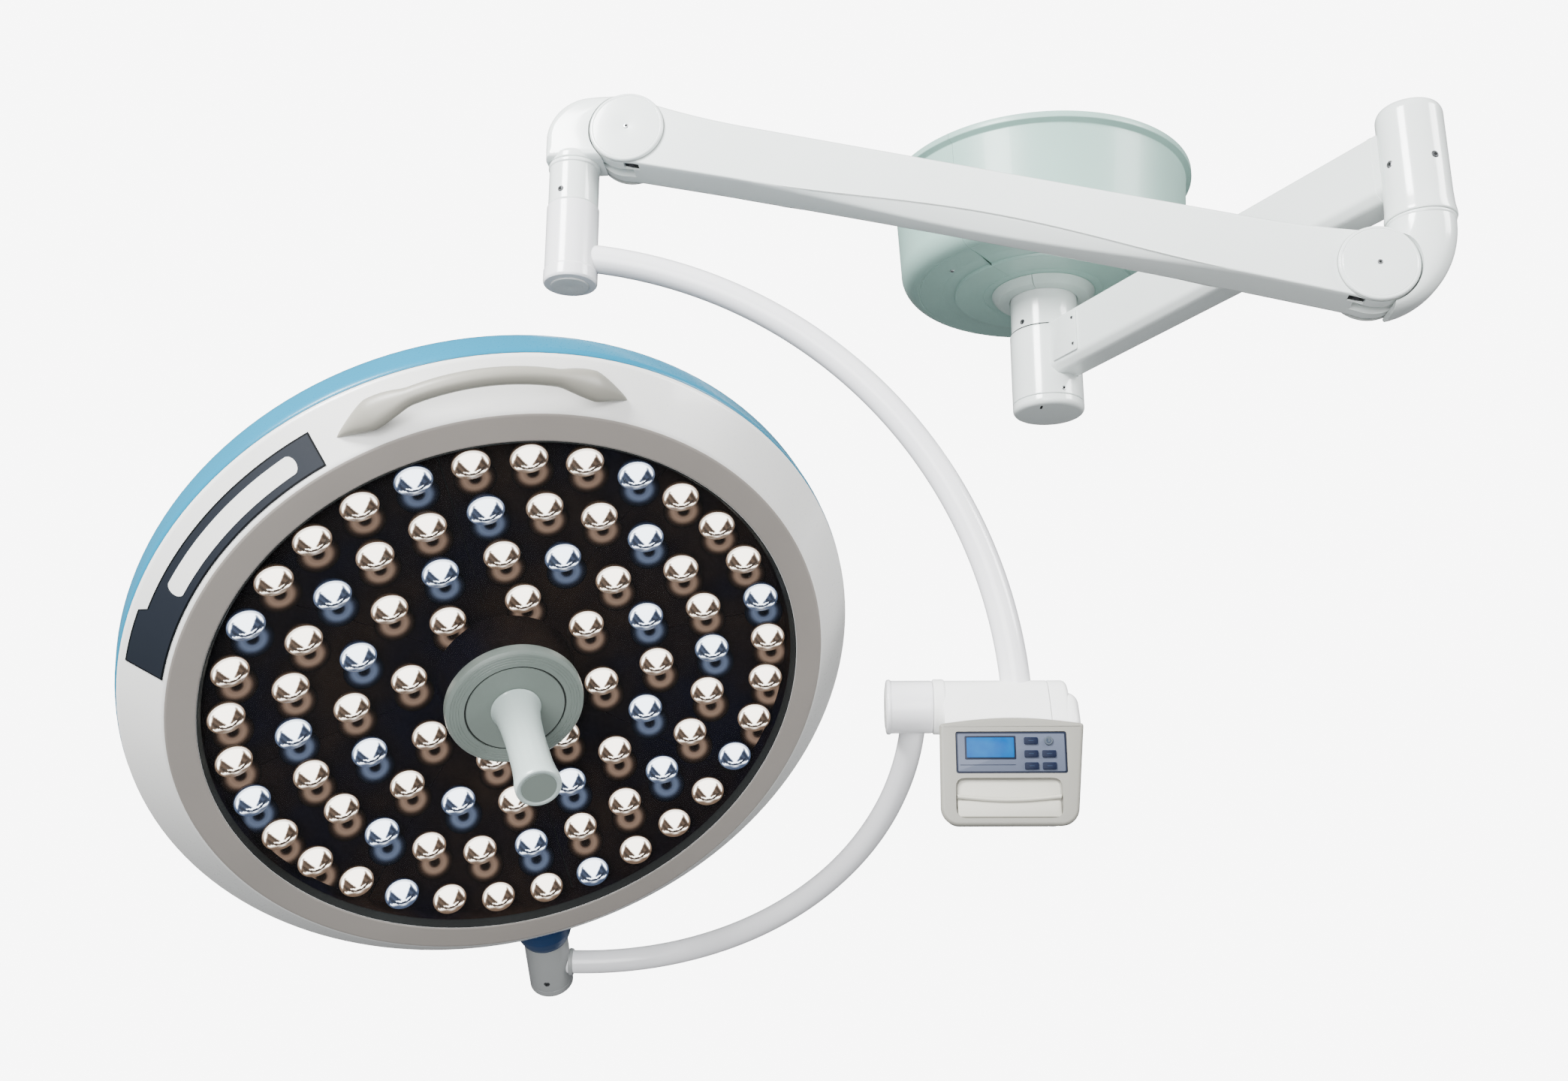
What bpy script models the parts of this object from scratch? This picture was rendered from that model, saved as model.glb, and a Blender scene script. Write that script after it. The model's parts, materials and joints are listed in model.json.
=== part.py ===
"""Ceiling surgical light: ceiling column, extension arm, balanced arm, gimbal yoke and LED lamp head.

Run with Blender 4.5. Metres, +Z up. The origin is the centre of the ceiling plate's upper face,
and every length below is driven from the constants at the top.
"""

import math

import bmesh
import bpy
from mathutils import Matrix, Vector

# ---- driving dimensions -------------------------------------------------------------------
GAP = 0.0003                    # between pieces that touch
RUNNING_GAP = 0.0005            # between pieces that turn on each other

EXTENSION_YAW = -62.0           # degrees, from the ceiling axis to the swivel axis
EXTENSION_LENGTH = 0.635
EXTENSION_Z = -0.266            # centre height of the extension arm
SPRING_YAW = 175.0              # degrees, from the swivel axis to the lamp axis
SPRING_LENGTH = 0.817           # pivot to pivot
SPRING_PITCH = 14.0             # degrees above level, towards the lamp
REAR_PIVOT_Z = -0.398
REAR_OFFSET = 0.056             # swivel axis to rear pivot
FRONT_OFFSET = 0.063            # front pivot to lamp axis
YOKE_YAW = -1.5                 # degrees, direction of the yoke's level axis
YOKE_AXIS_Z = -0.845
YOKE_CENTRE_X = -0.043          # gimbal centre, along the level axis from the lamp axis
PIVOT_SWING = 48.0              # degrees, lower pivot away from straight down
HEAD_TILT = 19.5                # degrees, lamp head about its own pivot
HEAD_SHIFT = 0.045              # lamp centre from the level axis

CANOPY_RADIUS = 0.219
COLUMN_RADIUS = 0.0475
COLUMN_BOTTOM = -0.2330
HUB_RADIUS = 0.050
HUB_BOTTOM = -0.3375
SWIVEL_RADIUS = 0.0345
SWIVEL_TOP = -0.208
SWIVEL_BOTTOM = -0.3405

EXTENSION_HALF_WIDTH = 0.027
EXTENSION_TOP = 0.034           # above the arm's centre height
EXTENSION_BOTTOM = -0.042

PIVOT_RADIUS = 0.0415           # round end of the spring arm
FORK_HALF_WIDTH = 0.0245
SLOT_HALF_WIDTH = 0.0110
LUG_HALF_WIDTH = 0.0060
PIN_RADIUS = 0.0080
LINK_DROP = 0.020               # levelling link's pivots, below the main pivots
LINK_PIN_RADIUS = 0.0030

END_TUBE_RADIUS = 0.0278
SOCKET_RADIUS = 0.0290
SPIGOT_RADIUS = 0.0180
UPPER_TUBE_RADIUS = 0.0155
UPPER_ARC_RADIUS = 0.520
UPPER_ARC_CENTRE = (-0.048, -0.015)
UPPER_ARC_END = 82.4            # degrees
LOWER_TUBE_RADIUS = 0.0130
LOWER_ARC_RADIUS = 0.370
LOWER_ARC_CENTRE = (0.040, 0.005)
LOWER_ARC_START = 1.6           # degrees
LOWER_ARC_END = 92.9
TUBE_WALL = 0.0025

BARREL_RADIUS = 0.0265
BARREL_START = 0.3385           # along the level axis, from the lamp axis
BARREL_END = 0.3855
BOX_START = 0.3965
BOX_END = 0.5280
BOX_BOTTOM = -0.1200
BOX_HALF_DEPTH = 0.038
FRAME_FRONT = -0.0465
SHAFT_RADIUS = 0.0115

WINDOW_RADIUS = 0.288
BAND_RADIUS = 0.3166
HEAD_RADIUS = 0.3570
SHELL_RADIUS = 0.3587
WINDOW_Z = 0.055                # window face, in front of the lamp's pivot axis
WAIST_Z = 0.019                 # widest line of the white ring
SHELL_BACK = -0.064
SHELL_WALL = 0.003
CONE_START = 0.3300
CONE_END = 0.3770
PIVOT_HOUSING_RADIUS = 0.0248
PIVOT_HOUSING_END = 0.4535
PIVOT_SHAFT_RADIUS = 0.0135
DISH_DEPTH = 0.0469             # middle of the lens dish, behind the window face
DISH_RADIUS = 1.11              # the lenses aim at a spot this far away
MODULE_COUNT = 8
MODULE_PHASE = 29.4             # degrees, first module's middle from the lower pivot
LENS_RINGS = ((0.2667, (-16.875, -5.625, 5.625, 16.875)), (0.2096, (-15.0, 0.0, 15.0)),
              (0.1527, (-11.25, 11.25)), (0.0978, (0.0,)))
LENS_RADIUS = 0.0160
FLANGE_RADIUS = 0.068

KEY_COLUMNS = (0.4772, 0.4945)
KEY_ROWS = (-0.0408, -0.0535, -0.0652)
KEY_SIZE = (0.0135, 0.0068)

FINE = 40
MEDIUM = 32
COARSE = 20


# ---- scene helpers ------------------------------------------------------------------------
def clear_scene():
    for item in list(bpy.data.objects):
        bpy.data.objects.remove(item, do_unlink=True)


def collection(name):
    found = bpy.data.collections.new(name)
    bpy.context.scene.collection.children.link(found)
    return found


def paint(name, colour, roughness, metallic=0.0):
    material = bpy.data.materials.new(name)
    material.use_nodes = True
    shader = material.node_tree.nodes["Principled BSDF"]
    shader.inputs["Base Color"].default_value = (*colour, 1.0)
    shader.inputs["Roughness"].default_value = roughness
    shader.inputs["Metallic"].default_value = metallic
    material.diffuse_color = (*colour, 1.0)
    return material


clear_scene()
PARTS = collection("surgical_light")
CUTTERS = collection("cutters")

WHITE = paint("white_enamel", (0.86, 0.88, 0.86), 0.30)
SAGE = paint("sage_canopy", (0.60, 0.70, 0.66), 0.40)
BEIGE = paint("beige_frame", (0.62, 0.61, 0.57), 0.45)
BLUE = paint("blue_shell", (0.18, 0.50, 0.72), 0.30)
GREY = paint("grey_plastic", (0.50, 0.53, 0.51), 0.45)
STEEL = paint("bare_steel", (0.55, 0.56, 0.58), 0.30, 1.0)
GLASS = paint("clear_window", (0.85, 0.90, 0.92), 0.05)
BOARD = paint("dark_board", (0.05, 0.05, 0.06), 0.50)
LENS = paint("lens_acrylic", (0.90, 0.88, 0.80), 0.08)
SCREEN = paint("blue_screen", (0.10, 0.45, 0.80), 0.15)
KEYPAD = paint("keypad_foil", (0.45, 0.50, 0.58), 0.45)
NAVY = paint("navy_key", (0.04, 0.08, 0.16), 0.50)


def frame(name, matrix, parent=None):
    empty = bpy.data.objects.new(name, None)
    empty.empty_display_size = 0.05
    PARTS.objects.link(empty)
    empty.parent = parent
    empty.matrix_local = matrix
    return empty


def add(name, mesh, home, material=None, local=None):
    """Links a mesh as a part, or as a hidden cutter when it has no material."""
    item = bpy.data.objects.new(name, mesh)
    item.parent = home
    item.matrix_local = local or Matrix.Identity(4)
    if material:
        mesh.materials.append(material)
        PARTS.objects.link(item)
    else:
        CUTTERS.objects.link(item)
        item.hide_render = True
        item.display_type = "WIRE"
    return item


def mesh_from(name, bm):
    bmesh.ops.recalc_face_normals(bm, faces=bm.faces)
    mesh = bpy.data.meshes.new(name)
    bm.to_mesh(mesh)
    bm.free()
    return mesh


def smooth(item, angle=35.0):
    item.data.shade_smooth()
    item.data.set_sharp_from_angle(angle=math.radians(angle))
    return item


def at(x=0.0, y=0.0, z=0.0):
    return Matrix.Translation((x, y, z))


def turn(degrees, axis):
    return Matrix.Rotation(math.radians(degrees), 4, axis)


def polar(radius, degrees):
    return (radius * math.cos(math.radians(degrees)), radius * math.sin(math.radians(degrees)))


def arc(centre, radius, start, end, steps):
    """Points of a circular arc, angles in degrees."""
    span = (end - start) / steps
    turns = [polar(radius, start + span * step) for step in range(steps + 1)]
    return [(centre[0] + x, centre[1] + y) for x, y in turns]


# ---- shape helpers ------------------------------------------------------------------------
def turned(name, profile, home, material=None, local=None, steps=MEDIUM, closed=False,
           angle=360.0, wall=0.0):
    """A profile of (radius, z) points turned about Z. Its outer side runs from top to bottom."""
    mesh = bpy.data.meshes.new(name)
    count = len(profile)
    edges = [(i, i + 1) for i in range(count - 1)]
    if closed:
        edges.append((count - 1, 0))
    mesh.from_pydata([(x, 0.0, z) for x, z in profile], edges, [])
    item = add(name, mesh, home, material, local)
    screw = item.modifiers.new("turn", "SCREW")
    screw.axis = "Z"
    screw.angle = math.radians(angle)
    screw.steps = screw.render_steps = steps
    screw.use_merge_vertices = True
    screw.merge_threshold = 0.00001
    screw.use_smooth_shade = True
    if min(x for x, _ in profile) == 0.0:
        weld = item.modifiers.new("axis", "WELD")
        weld.merge_threshold = 0.00001
    if wall:
        solidify = item.modifiers.new("wall", "SOLIDIFY")
        solidify.thickness = wall
        solidify.offset = -1.0
    return item


def rod(name, radius, start, end, home, material=None, local=None, steps=COARSE):
    """A cylinder about Z between two heights."""
    bm = bmesh.new()
    bmesh.ops.create_cone(bm, cap_ends=True, segments=steps, radius1=radius, radius2=radius,
                          depth=end - start, matrix=at(z=(start + end) / 2))
    item = add(name, mesh_from(name, bm), home, material, local)
    return smooth(item)


def block(name, low, high, home, material=None, local=None, rounding=0.0):
    """A box between two corners, with rounded edges where asked."""
    bm = bmesh.new()
    size = Vector(high) - Vector(low)
    middle = (Vector(high) + Vector(low)) / 2
    bmesh.ops.create_cube(bm, size=1.0, matrix=at(*middle) @ Matrix.Diagonal((*size, 1)))
    item = add(name, mesh_from(name, bm), home, material, local)
    if rounding:
        bevel(item, rounding)
    return item


def plate(name, outline, low, high, home, material=None, local=None):
    """A flat outline of (x, z) points given thickness from y low to y high."""
    bm = bmesh.new()
    face = bm.faces.new([bm.verts.new((x, low, z)) for x, z in outline])
    grown = bmesh.ops.extrude_face_region(bm, geom=[face])
    moved = [v for v in grown["geom"] if isinstance(v, bmesh.types.BMVert)]
    bmesh.ops.translate(bm, vec=(0.0, high - low, 0.0), verts=moved)
    return add(name, mesh_from(name, bm), home, material, local)


def loft(name, sections, home, material=None, local=None):
    """Closed loops of equal count joined in order, with both ends capped."""
    bm = bmesh.new()
    loops = [[bm.verts.new(point) for point in section] for section in sections]
    for first, second in zip(loops, loops[1:]):
        for i in range(len(first)):
            j = (i + 1) % len(first)
            bm.faces.new((first[i], first[j], second[j], second[i]))
    bm.faces.new(loops[0])
    bm.faces.new(reversed(loops[-1]))
    return add(name, mesh_from(name, bm), home, material, local)


def bevel(item, width, segments=2, limit=40.0):
    modifier = item.modifiers.new("bevel", "BEVEL")
    modifier.width = width
    modifier.segments = segments
    modifier.limit_method = "ANGLE"
    modifier.angle_limit = math.radians(limit)
    return item


def boolean(item, other, operation):
    modifier = item.modifiers.new(operation.lower(), "BOOLEAN")
    modifier.operation = operation
    modifier.solver = "EXACT"
    modifier.object = other
    return item


def cut(item, *others):
    for other in others:
        boolean(item, other, "DIFFERENCE")
    return item


def join(item, *others):
    for other in others:
        boolean(item, other, "UNION")
    return item


# ---- frames of the moving bodies ----------------------------------------------------------
def lamp_frames():
    """An empty on each joint, in the rest pose."""
    swivel_x, swivel_y = polar(EXTENSION_LENGTH, EXTENSION_YAW)
    ceiling = frame("ceiling_frame", Matrix.Identity(4))
    extension = frame("extension_frame", turn(EXTENSION_YAW, "Z"), ceiling)
    rear = frame("rear_frame", at(swivel_x, swivel_y, REAR_PIVOT_Z) @ turn(SPRING_YAW, "Z"))
    spring = frame("spring_frame", at(REAR_OFFSET) @ turn(-SPRING_PITCH, "Y"), rear)
    link = frame("link_frame", at(REAR_OFFSET, 0.0, -LINK_DROP) @ turn(-SPRING_PITCH, "Y"), rear)
    reach, rise = polar(SPRING_LENGTH, SPRING_PITCH)
    front = frame("front_frame", at(REAR_OFFSET + reach + FRONT_OFFSET, 0.0, rise), rear)
    lamp_x, lamp_y = polar(REAR_OFFSET + reach + FRONT_OFFSET, SPRING_YAW)
    yoke_place = at(swivel_x + lamp_x, swivel_y + lamp_y, YOKE_AXIS_Z)
    yoke = frame("yoke_frame", yoke_place @ turn(YOKE_YAW, "Z"))
    lower = frame("lower_yoke_frame", at(YOKE_CENTRE_X) @ turn(PIVOT_SWING, "X"), yoke)
    head_turn = turn(HEAD_TILT, "Z") @ turn(90.0, "X")
    head = frame("head_frame", at(z=HEAD_SHIFT) @ head_turn, lower)
    return ceiling, extension, rear, spring, link, front, yoke, lower, head


(CEILING, EXTENSION, REAR, SPRING, LINK, FRONT, YOKE, LOWER, HEAD) = lamp_frames()
FRONT_PIVOT_Z = REAR_PIVOT_Z + SPRING_LENGTH * math.sin(math.radians(SPRING_PITCH))
ACROSS = turn(90.0, "X")        # turns a Z cylinder to lie along Y


# ---- ceiling column -----------------------------------------------------------------------
def canopy_profile():
    """Outer face of the canopy, from the ceiling lip down to the hole for the column."""
    side = [(0.2085, -0.0005), (CANOPY_RADIUS, -0.0005), (CANOPY_RADIUS, -0.0100), (0.2110, -0.0135)]
    edge = arc((0.1735, -0.1300), 0.0300, 0.0, -80.0, 4)
    floor = [(0.1300, -0.1620), (0.1270, -0.1660), (0.0525, -0.1670)]
    return side + edge + floor


def ceiling_column():
    bolt_holes = []
    for number in range(6):
        x, y = polar(0.125, 60.0 * number + 26.0)
        bolt_holes.append(rod(f"cut_bolt_{number}", 0.0065, -0.02, 0.01, CEILING, local=at(x, y),
                              steps=10))
    cable_hole = rod("cut_cable", 0.0090, -0.02, 0.01, CEILING, local=at(0.024, 0.008), steps=12)
    plate_profile = [(0.0, 0.0), (0.150, 0.0), (0.150, -0.010), (0.0, -0.010)]
    cut(turned("ceiling_plate", plate_profile, CEILING, STEEL, steps=FINE), cable_hole, *bolt_holes)
    column = [(0.040, -0.0103), (0.085, -0.0103), (0.085, -0.0203), (0.0525, -0.0203),
              (COLUMN_RADIUS, -0.0260), (COLUMN_RADIUS, COLUMN_BOTTOM), (0.040, COLUMN_BOTTOM)]
    turned("drop_tube", column, CEILING, WHITE, closed=True)
    for name, seam in (("canopy_left", 47.15), ("canopy_right", 227.15)):
        turned(name, canopy_profile(), CEILING, SAGE, local=turn(seam, "Z"),
               steps=16, angle=179.7, wall=SHELL_WALL)
    collar = [(0.0480, -0.1705), (0.0640, -0.1705), (0.0735, -0.1673), (0.0735, -0.1690),
              (0.0650, -0.1790), (0.0480, -0.1800)]
    turned("column_collar", collar, CEILING, WHITE, closed=True)
    spindle = [(0.0, -0.150), (0.0395, -0.150), (0.0395, -0.170), (0.018, -0.175),
               (0.018, -0.325), (0.0, -0.325)]
    turned("hub_spindle", spindle, CEILING, STEEL, steps=COARSE)


# ---- extension arm ------------------------------------------------------------------------
def arm_section():
    """Outline (y, z) of the extension arm, flat-sided with its lower edges cut back."""
    half, chamfer = EXTENSION_HALF_WIDTH, 0.010
    side = [(half, EXTENSION_BOTTOM + chamfer), (half, EXTENSION_TOP - 0.004)]
    top = [(half - 0.004, EXTENSION_TOP)]
    right = [(half - chamfer, EXTENSION_BOTTOM)] + side + top
    return right + [(-y, z) for y, z in reversed(right)]


def extension_arm():
    swivel = at(EXTENSION_LENGTH)
    housing = [(0.045, COLUMN_BOTTOM - RUNNING_GAP), (HUB_RADIUS, COLUMN_BOTTOM - RUNNING_GAP),
               (HUB_RADIUS, HUB_BOTTOM), (0.045, HUB_BOTTOM)]
    turned("hub_housing", housing, EXTENSION, WHITE, closed=True)
    cap = [(0.0, HUB_BOTTOM - GAP), (HUB_RADIUS, HUB_BOTTOM - GAP)]
    cap += arc((0.0440, -0.3460), 0.0060, 0.0, -90.0, 3) + [(0.0, -0.3520)]
    turned("hub_end_cap", cap, EXTENSION, WHITE)
    bearing = [(0.0185, -0.290), (0.0446, -0.290), (0.0446, -0.308), (0.0185, -0.308)]
    turned("hub_bearing", bearing, EXTENSION, STEEL, closed=True, steps=COARSE)

    ends = [[(x, y, z + EXTENSION_Z) for y, z in arm_section()] for x in (0.0, EXTENSION_LENGTH)]
    arm = loft("extension_arm", ends, EXTENSION, WHITE)
    hub_cut = rod("cut_hub", HUB_RADIUS + GAP, -0.40, -0.15, EXTENSION, steps=MEDIUM)
    swivel_cut = rod("cut_swivel", 0.0368 + GAP, -0.40, -0.15, EXTENSION, local=swivel, steps=MEDIUM)
    channel = block("cut_channel", (-0.1, -0.021, EXTENSION_Z - 0.034),
                    (0.8, 0.021, EXTENSION_Z + 0.028), EXTENSION)
    cut(arm, hub_cut, swivel_cut, channel)
    block("hub_cover_plate", (0.052, -EXTENSION_HALF_WIDTH - 0.0023, EXTENSION_Z - 0.028),
          (0.103, -EXTENSION_HALF_WIDTH - GAP, EXTENSION_Z + 0.026), EXTENSION, WHITE)

    outside = [(0.0, SWIVEL_TOP)] + arc((0.0245, SWIVEL_TOP - 0.010), 0.010, 90.0, 0.0, 3)
    outside += [(SWIVEL_RADIUS, -0.318), (0.0365, -0.334), (0.0365, SWIVEL_BOTTOM)]
    inside = [(0.0290, SWIVEL_BOTTOM), (0.0290, SWIVEL_TOP - 0.006), (0.0, SWIVEL_TOP - 0.006)]
    turned("swivel_housing", outside + inside, EXTENSION, WHITE, local=swivel)


# ---- knuckles -----------------------------------------------------------------------------
def rear_knuckle_outline():
    """Side view of the rear elbow, swivel axis at x 0 and pivot at x REAR_OFFSET."""
    neck = SWIVEL_BOTTOM - REAR_PIVOT_Z - RUNNING_GAP - 0.012
    centre = Vector((REAR_OFFSET, 0.055))
    curve = []
    for step in range(9):
        x, z = polar(1.0, 187.0 + 81.0 * step / 8)
        curve.append((centre.x + 0.0900 * x, centre.y + 0.1050 * z))
    return [(0.0335, neck), (-0.0335, neck)] + curve + [(REAR_OFFSET, 0.0)]


def lug_outline(pivot_x, root_x, low, high):
    """A round eye on the pivot, carried by a web that reaches root_x."""
    start, end = (90.0, -90.0) if root_x < pivot_x else (90.0, 270.0)
    return arc((pivot_x, 0.0), 0.030, start, end, 10) + [(root_x, low), (root_x, high)]


def link_stub(name, pivot_x, home):
    """The pin that carries the levelling link, on the side of a lug."""
    pivot = at(pivot_x, 0.0, -LINK_DROP) @ ACROSS
    return rod(name, LINK_PIN_RADIUS, -0.0108, -0.004, home, local=pivot, steps=12)


def knuckle(name, body, pivot_x, lug, home):
    """Trims a knuckle round the arm's fork and adds its lug, link pin and pivot bore."""
    pivot = at(pivot_x) @ ACROSS
    relief = rod(f"cut_{name}_relief", PIVOT_RADIUS + 0.0010, -0.05, 0.05, home, local=pivot, steps=40)
    bore = rod(f"cut_{name}_bore", PIN_RADIUS + GAP, -0.05, 0.05, home, local=pivot)
    cut(body, relief)
    join(body, lug, link_stub(f"stub_{name}", pivot_x, home))
    cut(body, bore)
    rod(f"{name}_pin", PIN_RADIUS, -FORK_HALF_WIDTH, FORK_HALF_WIDTH, home, STEEL, local=pivot)


def rear_knuckle():
    top = SWIVEL_BOTTOM - REAR_PIVOT_Z - RUNNING_GAP
    body = plate("rear_knuckle", rear_knuckle_outline(), -0.0255, 0.0255, REAR, WHITE)
    bevel(body, 0.006, segments=1, limit=60.0)
    neck = turned("join_rear_neck", [(0.0, 0.165), (0.0145, 0.165), (0.0145, top), (0.0345, top),
                                     (0.0345, 0.034), (0.0, 0.034)], REAR)
    join(body, neck)
    lug = plate("join_rear_lug", lug_outline(REAR_OFFSET, 0.005, -0.012, 0.038),
                -LUG_HALF_WIDTH, LUG_HALF_WIDTH, REAR)
    knuckle("rear_knuckle", body, REAR_OFFSET, lug, REAR)
    bearing = [(0.0150, 0.100), (0.0286, 0.100), (0.0286, 0.085), (0.0150, 0.085)]
    turned("swivel_bearing", bearing, REAR, STEEL, closed=True, steps=COARSE)


def front_knuckle_outline():
    """Side view of the front elbow, lamp axis at x 0 and pivot at x -FRONT_OFFSET."""
    curve = arc((-0.022, -0.008), 0.051, 0.0, 90.0, 7)
    foot = [(-0.045, -0.040), (-0.0285, -0.033), (0.029, -0.033)]
    return foot + curve + [(-0.036, 0.043), (-0.045, 0.0)]


def front_knuckle():
    pivot_x = -FRONT_OFFSET
    body = plate("front_knuckle", front_knuckle_outline(), -0.0255, 0.0255, FRONT, WHITE)
    bevel(body, 0.006, segments=1, limit=60.0)
    lug = plate("join_front_lug", lug_outline(pivot_x, -0.010, -0.020, 0.030),
                -LUG_HALF_WIDTH, LUG_HALF_WIDTH, FRONT)
    knuckle("front_knuckle", body, pivot_x, lug, FRONT)
    split = -0.2840 - FRONT_PIVOT_Z
    tube = [(0.0185, -0.0333), (0.0290, -0.0333), (0.0290, -0.0375), (END_TUBE_RADIUS, -0.0385),
            (END_TUBE_RADIUS, split), (0.0185, split)]
    turned("end_tube", tube, FRONT, WHITE, closed=True)


# ---- spring arm ---------------------------------------------------------------------------
def arm_station(x):
    """Half outline (y, z) of the spring arm at x: the side face with a belly that swells mid-span."""
    along = min(max((x - 0.12) / 0.56, 0.0), 1.0)
    swell = math.sin(math.pi * along) ** 2
    near_end = max(0.0, 1.0 - min(x, SPRING_LENGTH - x) / 0.13)
    top = 0.0300 + 0.0095 * near_end ** 2
    ridge = -0.0360 + 0.0135 * swell - 0.0030 * near_end
    bottom = -0.0370 - 0.0035 * swell - 0.0030 * near_end
    keel = 0.0200 - 0.0090 * swell
    return [(keel, bottom), (FORK_HALF_WIDTH, ridge), (FORK_HALF_WIDTH, top - 0.004), (0.0205, top)]


def arm_sections(stations):
    for x in stations:
        half = arm_station(x)
        yield [(x, y, z) for y, z in half] + [(x, -y, z) for y, z in reversed(half)]


def spring_arm():
    belly = [0.13 + 0.057 * step for step in range(1, 10)]
    stations = [0.012, 0.04, 0.08, 0.13] + belly + [0.69, 0.74, 0.78, 0.805]
    shell = loft("spring_arm_shell", list(arm_sections(stations)), SPRING, WHITE)
    for end, x in (("rear", 0.0), ("front", SPRING_LENGTH)):
        pivot = at(x) @ ACROSS
        round_end = rod(f"join_{end}_end", PIVOT_RADIUS, -FORK_HALF_WIDTH, FORK_HALF_WIDTH, SPRING,
                        local=pivot, steps=MEDIUM)
        slot = rod(f"cut_{end}_slot", PIVOT_RADIUS + 0.0015, -SLOT_HALF_WIDTH, SLOT_HALF_WIDTH,
                   SPRING, local=pivot, steps=MEDIUM)
        bore = rod(f"cut_{end}_bore", PIN_RADIUS + GAP, -0.05, 0.05, SPRING, local=pivot)
        join(shell, round_end)
        cut(shell, slot, bore)
        window = block(f"cut_{end}_window", (x - 0.006, 0.0125, -0.060),
                       (x + 0.010, 0.0195, -0.030), SPRING)
        cut(shell, window)
        for side, low, high in (("near", 0.0248, 0.0292), ("far", -0.0292, -0.0248)):
            disc = rod(f"{end}_cover_{side}", PIVOT_RADIUS, low, high, SPRING, WHITE,
                       local=at(x) @ turn(-90.0, "X"), steps=MEDIUM)
            bevel(disc, 0.0012, segments=1)
    cavity = block("cut_cavity", (0.035, -0.0170, -0.0265), (SPRING_LENGTH - 0.035, 0.0170, 0.0260),
                   SPRING)
    cut(shell, cavity)
    balance_spring()


def balance_spring():
    """Compression spring round its guide rod, in the upper half of the arm's cavity."""
    turns, per_turn, pitch, start, lift = 7, 7, 0.038, 0.110, 0.010
    data = bpy.data.curves.new("balance_spring", "CURVE")
    data.dimensions = "3D"
    data.bevel_depth = 0.0020
    data.bevel_resolution = 2
    data.use_fill_caps = True
    line = data.splines.new("POLY")
    line.points.add(turns * per_turn)
    for number, point in enumerate(line.points):
        y, z = polar(0.0108, 360.0 * number / per_turn)
        point.co = (start + pitch * number / per_turn, y, lift + z, 1.0)
    data.materials.append(STEEL)
    item = bpy.data.objects.new("balance_spring", data)
    item.parent = SPRING
    PARTS.objects.link(item)
    tail = start + turns * pitch
    guide = [(0.0, tail + 0.010), (0.0130, tail + 0.010), (0.0130, tail + 0.0035), (0.0050, tail + 0.0035),
             (0.0050, start - 0.0035), (0.0130, start - 0.0035), (0.0130, start - 0.010),
             (0.0, start - 0.010)]
    turned("spring_guide", guide, SPRING, STEEL, local=at(z=lift) @ turn(90.0, "Y"), steps=12)


def levelling_link():
    """Flat bar that keeps the front knuckle upright: it runs beside the lugs, below the pivots."""
    radius, waist = 0.0070, 0.0045
    rear = arc((0.0, 0.0), radius, 40.0, 320.0, 8)
    front = arc((SPRING_LENGTH, 0.0), radius, -140.0, 140.0, 8)
    outline = rear + [(0.012, -waist), (SPRING_LENGTH - 0.012, -waist)] + front
    outline += [(SPRING_LENGTH - 0.012, waist), (0.012, waist)]
    bar = plate("levelling_link", outline, 0.0065, 0.0104, LINK, STEEL)
    for number, x in enumerate((0.0, SPRING_LENGTH)):
        eye = LINK_PIN_RADIUS + 0.0006 + 0.0004 * number
        cut(bar, rod(f"cut_link_eye_{number}", eye, -0.05, 0.05, LINK, local=at(x) @ ACROSS, steps=12))


# ---- yoke ---------------------------------------------------------------------------------
def arc_tube(name, radius, tube, centre, start, end, home, upright):
    """A hollow tube bent to a circular arc in the XZ plane of its frame."""
    ring = [polar(tube, -30.0 * step) for step in range(12)]
    stand = turn(90.0, "X") if upright else turn(-90.0, "X")
    place = at(centre[0], 0.0, centre[1] if upright else -centre[1]) @ stand @ turn(start, "Z")
    return turned(name, [(radius + x, z) for x, z in ring], home, WHITE, local=place, steps=22,
                  closed=True, angle=end - start, wall=TUBE_WALL)


def yoke():
    socket_top = -0.2845 - YOKE_AXIS_Z
    socket_floor = socket_top - 0.016
    foot = -0.3765 - YOKE_AXIS_Z
    lip = foot + 0.016
    rim = SOCKET_RADIUS + 0.0008
    socket = [(0.0, socket_floor), (0.0183, socket_floor), (0.0183, socket_top),
              (SOCKET_RADIUS, socket_top), (SOCKET_RADIUS, lip), (rim, lip - 0.001), (rim, foot + 0.002),
              (SOCKET_RADIUS - 0.001, foot), (0.0, foot)]
    body = turned("yoke_socket", socket, YOKE, WHITE)
    rod("yoke_spigot", SPIGOT_RADIUS, socket_floor + GAP, -0.238 - YOKE_AXIS_Z, YOKE, STEEL)
    x, z = polar(UPPER_ARC_RADIUS, UPPER_ARC_END)
    entry = at(UPPER_ARC_CENTRE[0] + x, 0.0, UPPER_ARC_CENTRE[1] + z) @ turn(180.0 - UPPER_ARC_END, "Y")
    cut(body, rod("cut_socket_entry", UPPER_TUBE_RADIUS + 0.0007, -0.0006, 0.05, YOKE, local=entry))
    arc_tube("upper_arc", UPPER_ARC_RADIUS, UPPER_TUBE_RADIUS, UPPER_ARC_CENTRE, 0.0, UPPER_ARC_END,
             YOKE, True)


def box_section():
    """Outline (y, z) of the control box: a round back over the hinge, and a deeper body below."""
    crown = arc((0.0, 0.0), BARREL_RADIUS, 150.0, 20.0, 7)
    depth = BOX_HALF_DEPTH
    back = [(0.034, -0.022), (0.034, -0.100), (0.022, BOX_BOTTOM)]
    front = [(-depth + 0.006, BOX_BOTTOM), (-depth, BOX_BOTTOM + 0.006), (-depth, -0.018)]
    return crown + back + front


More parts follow.
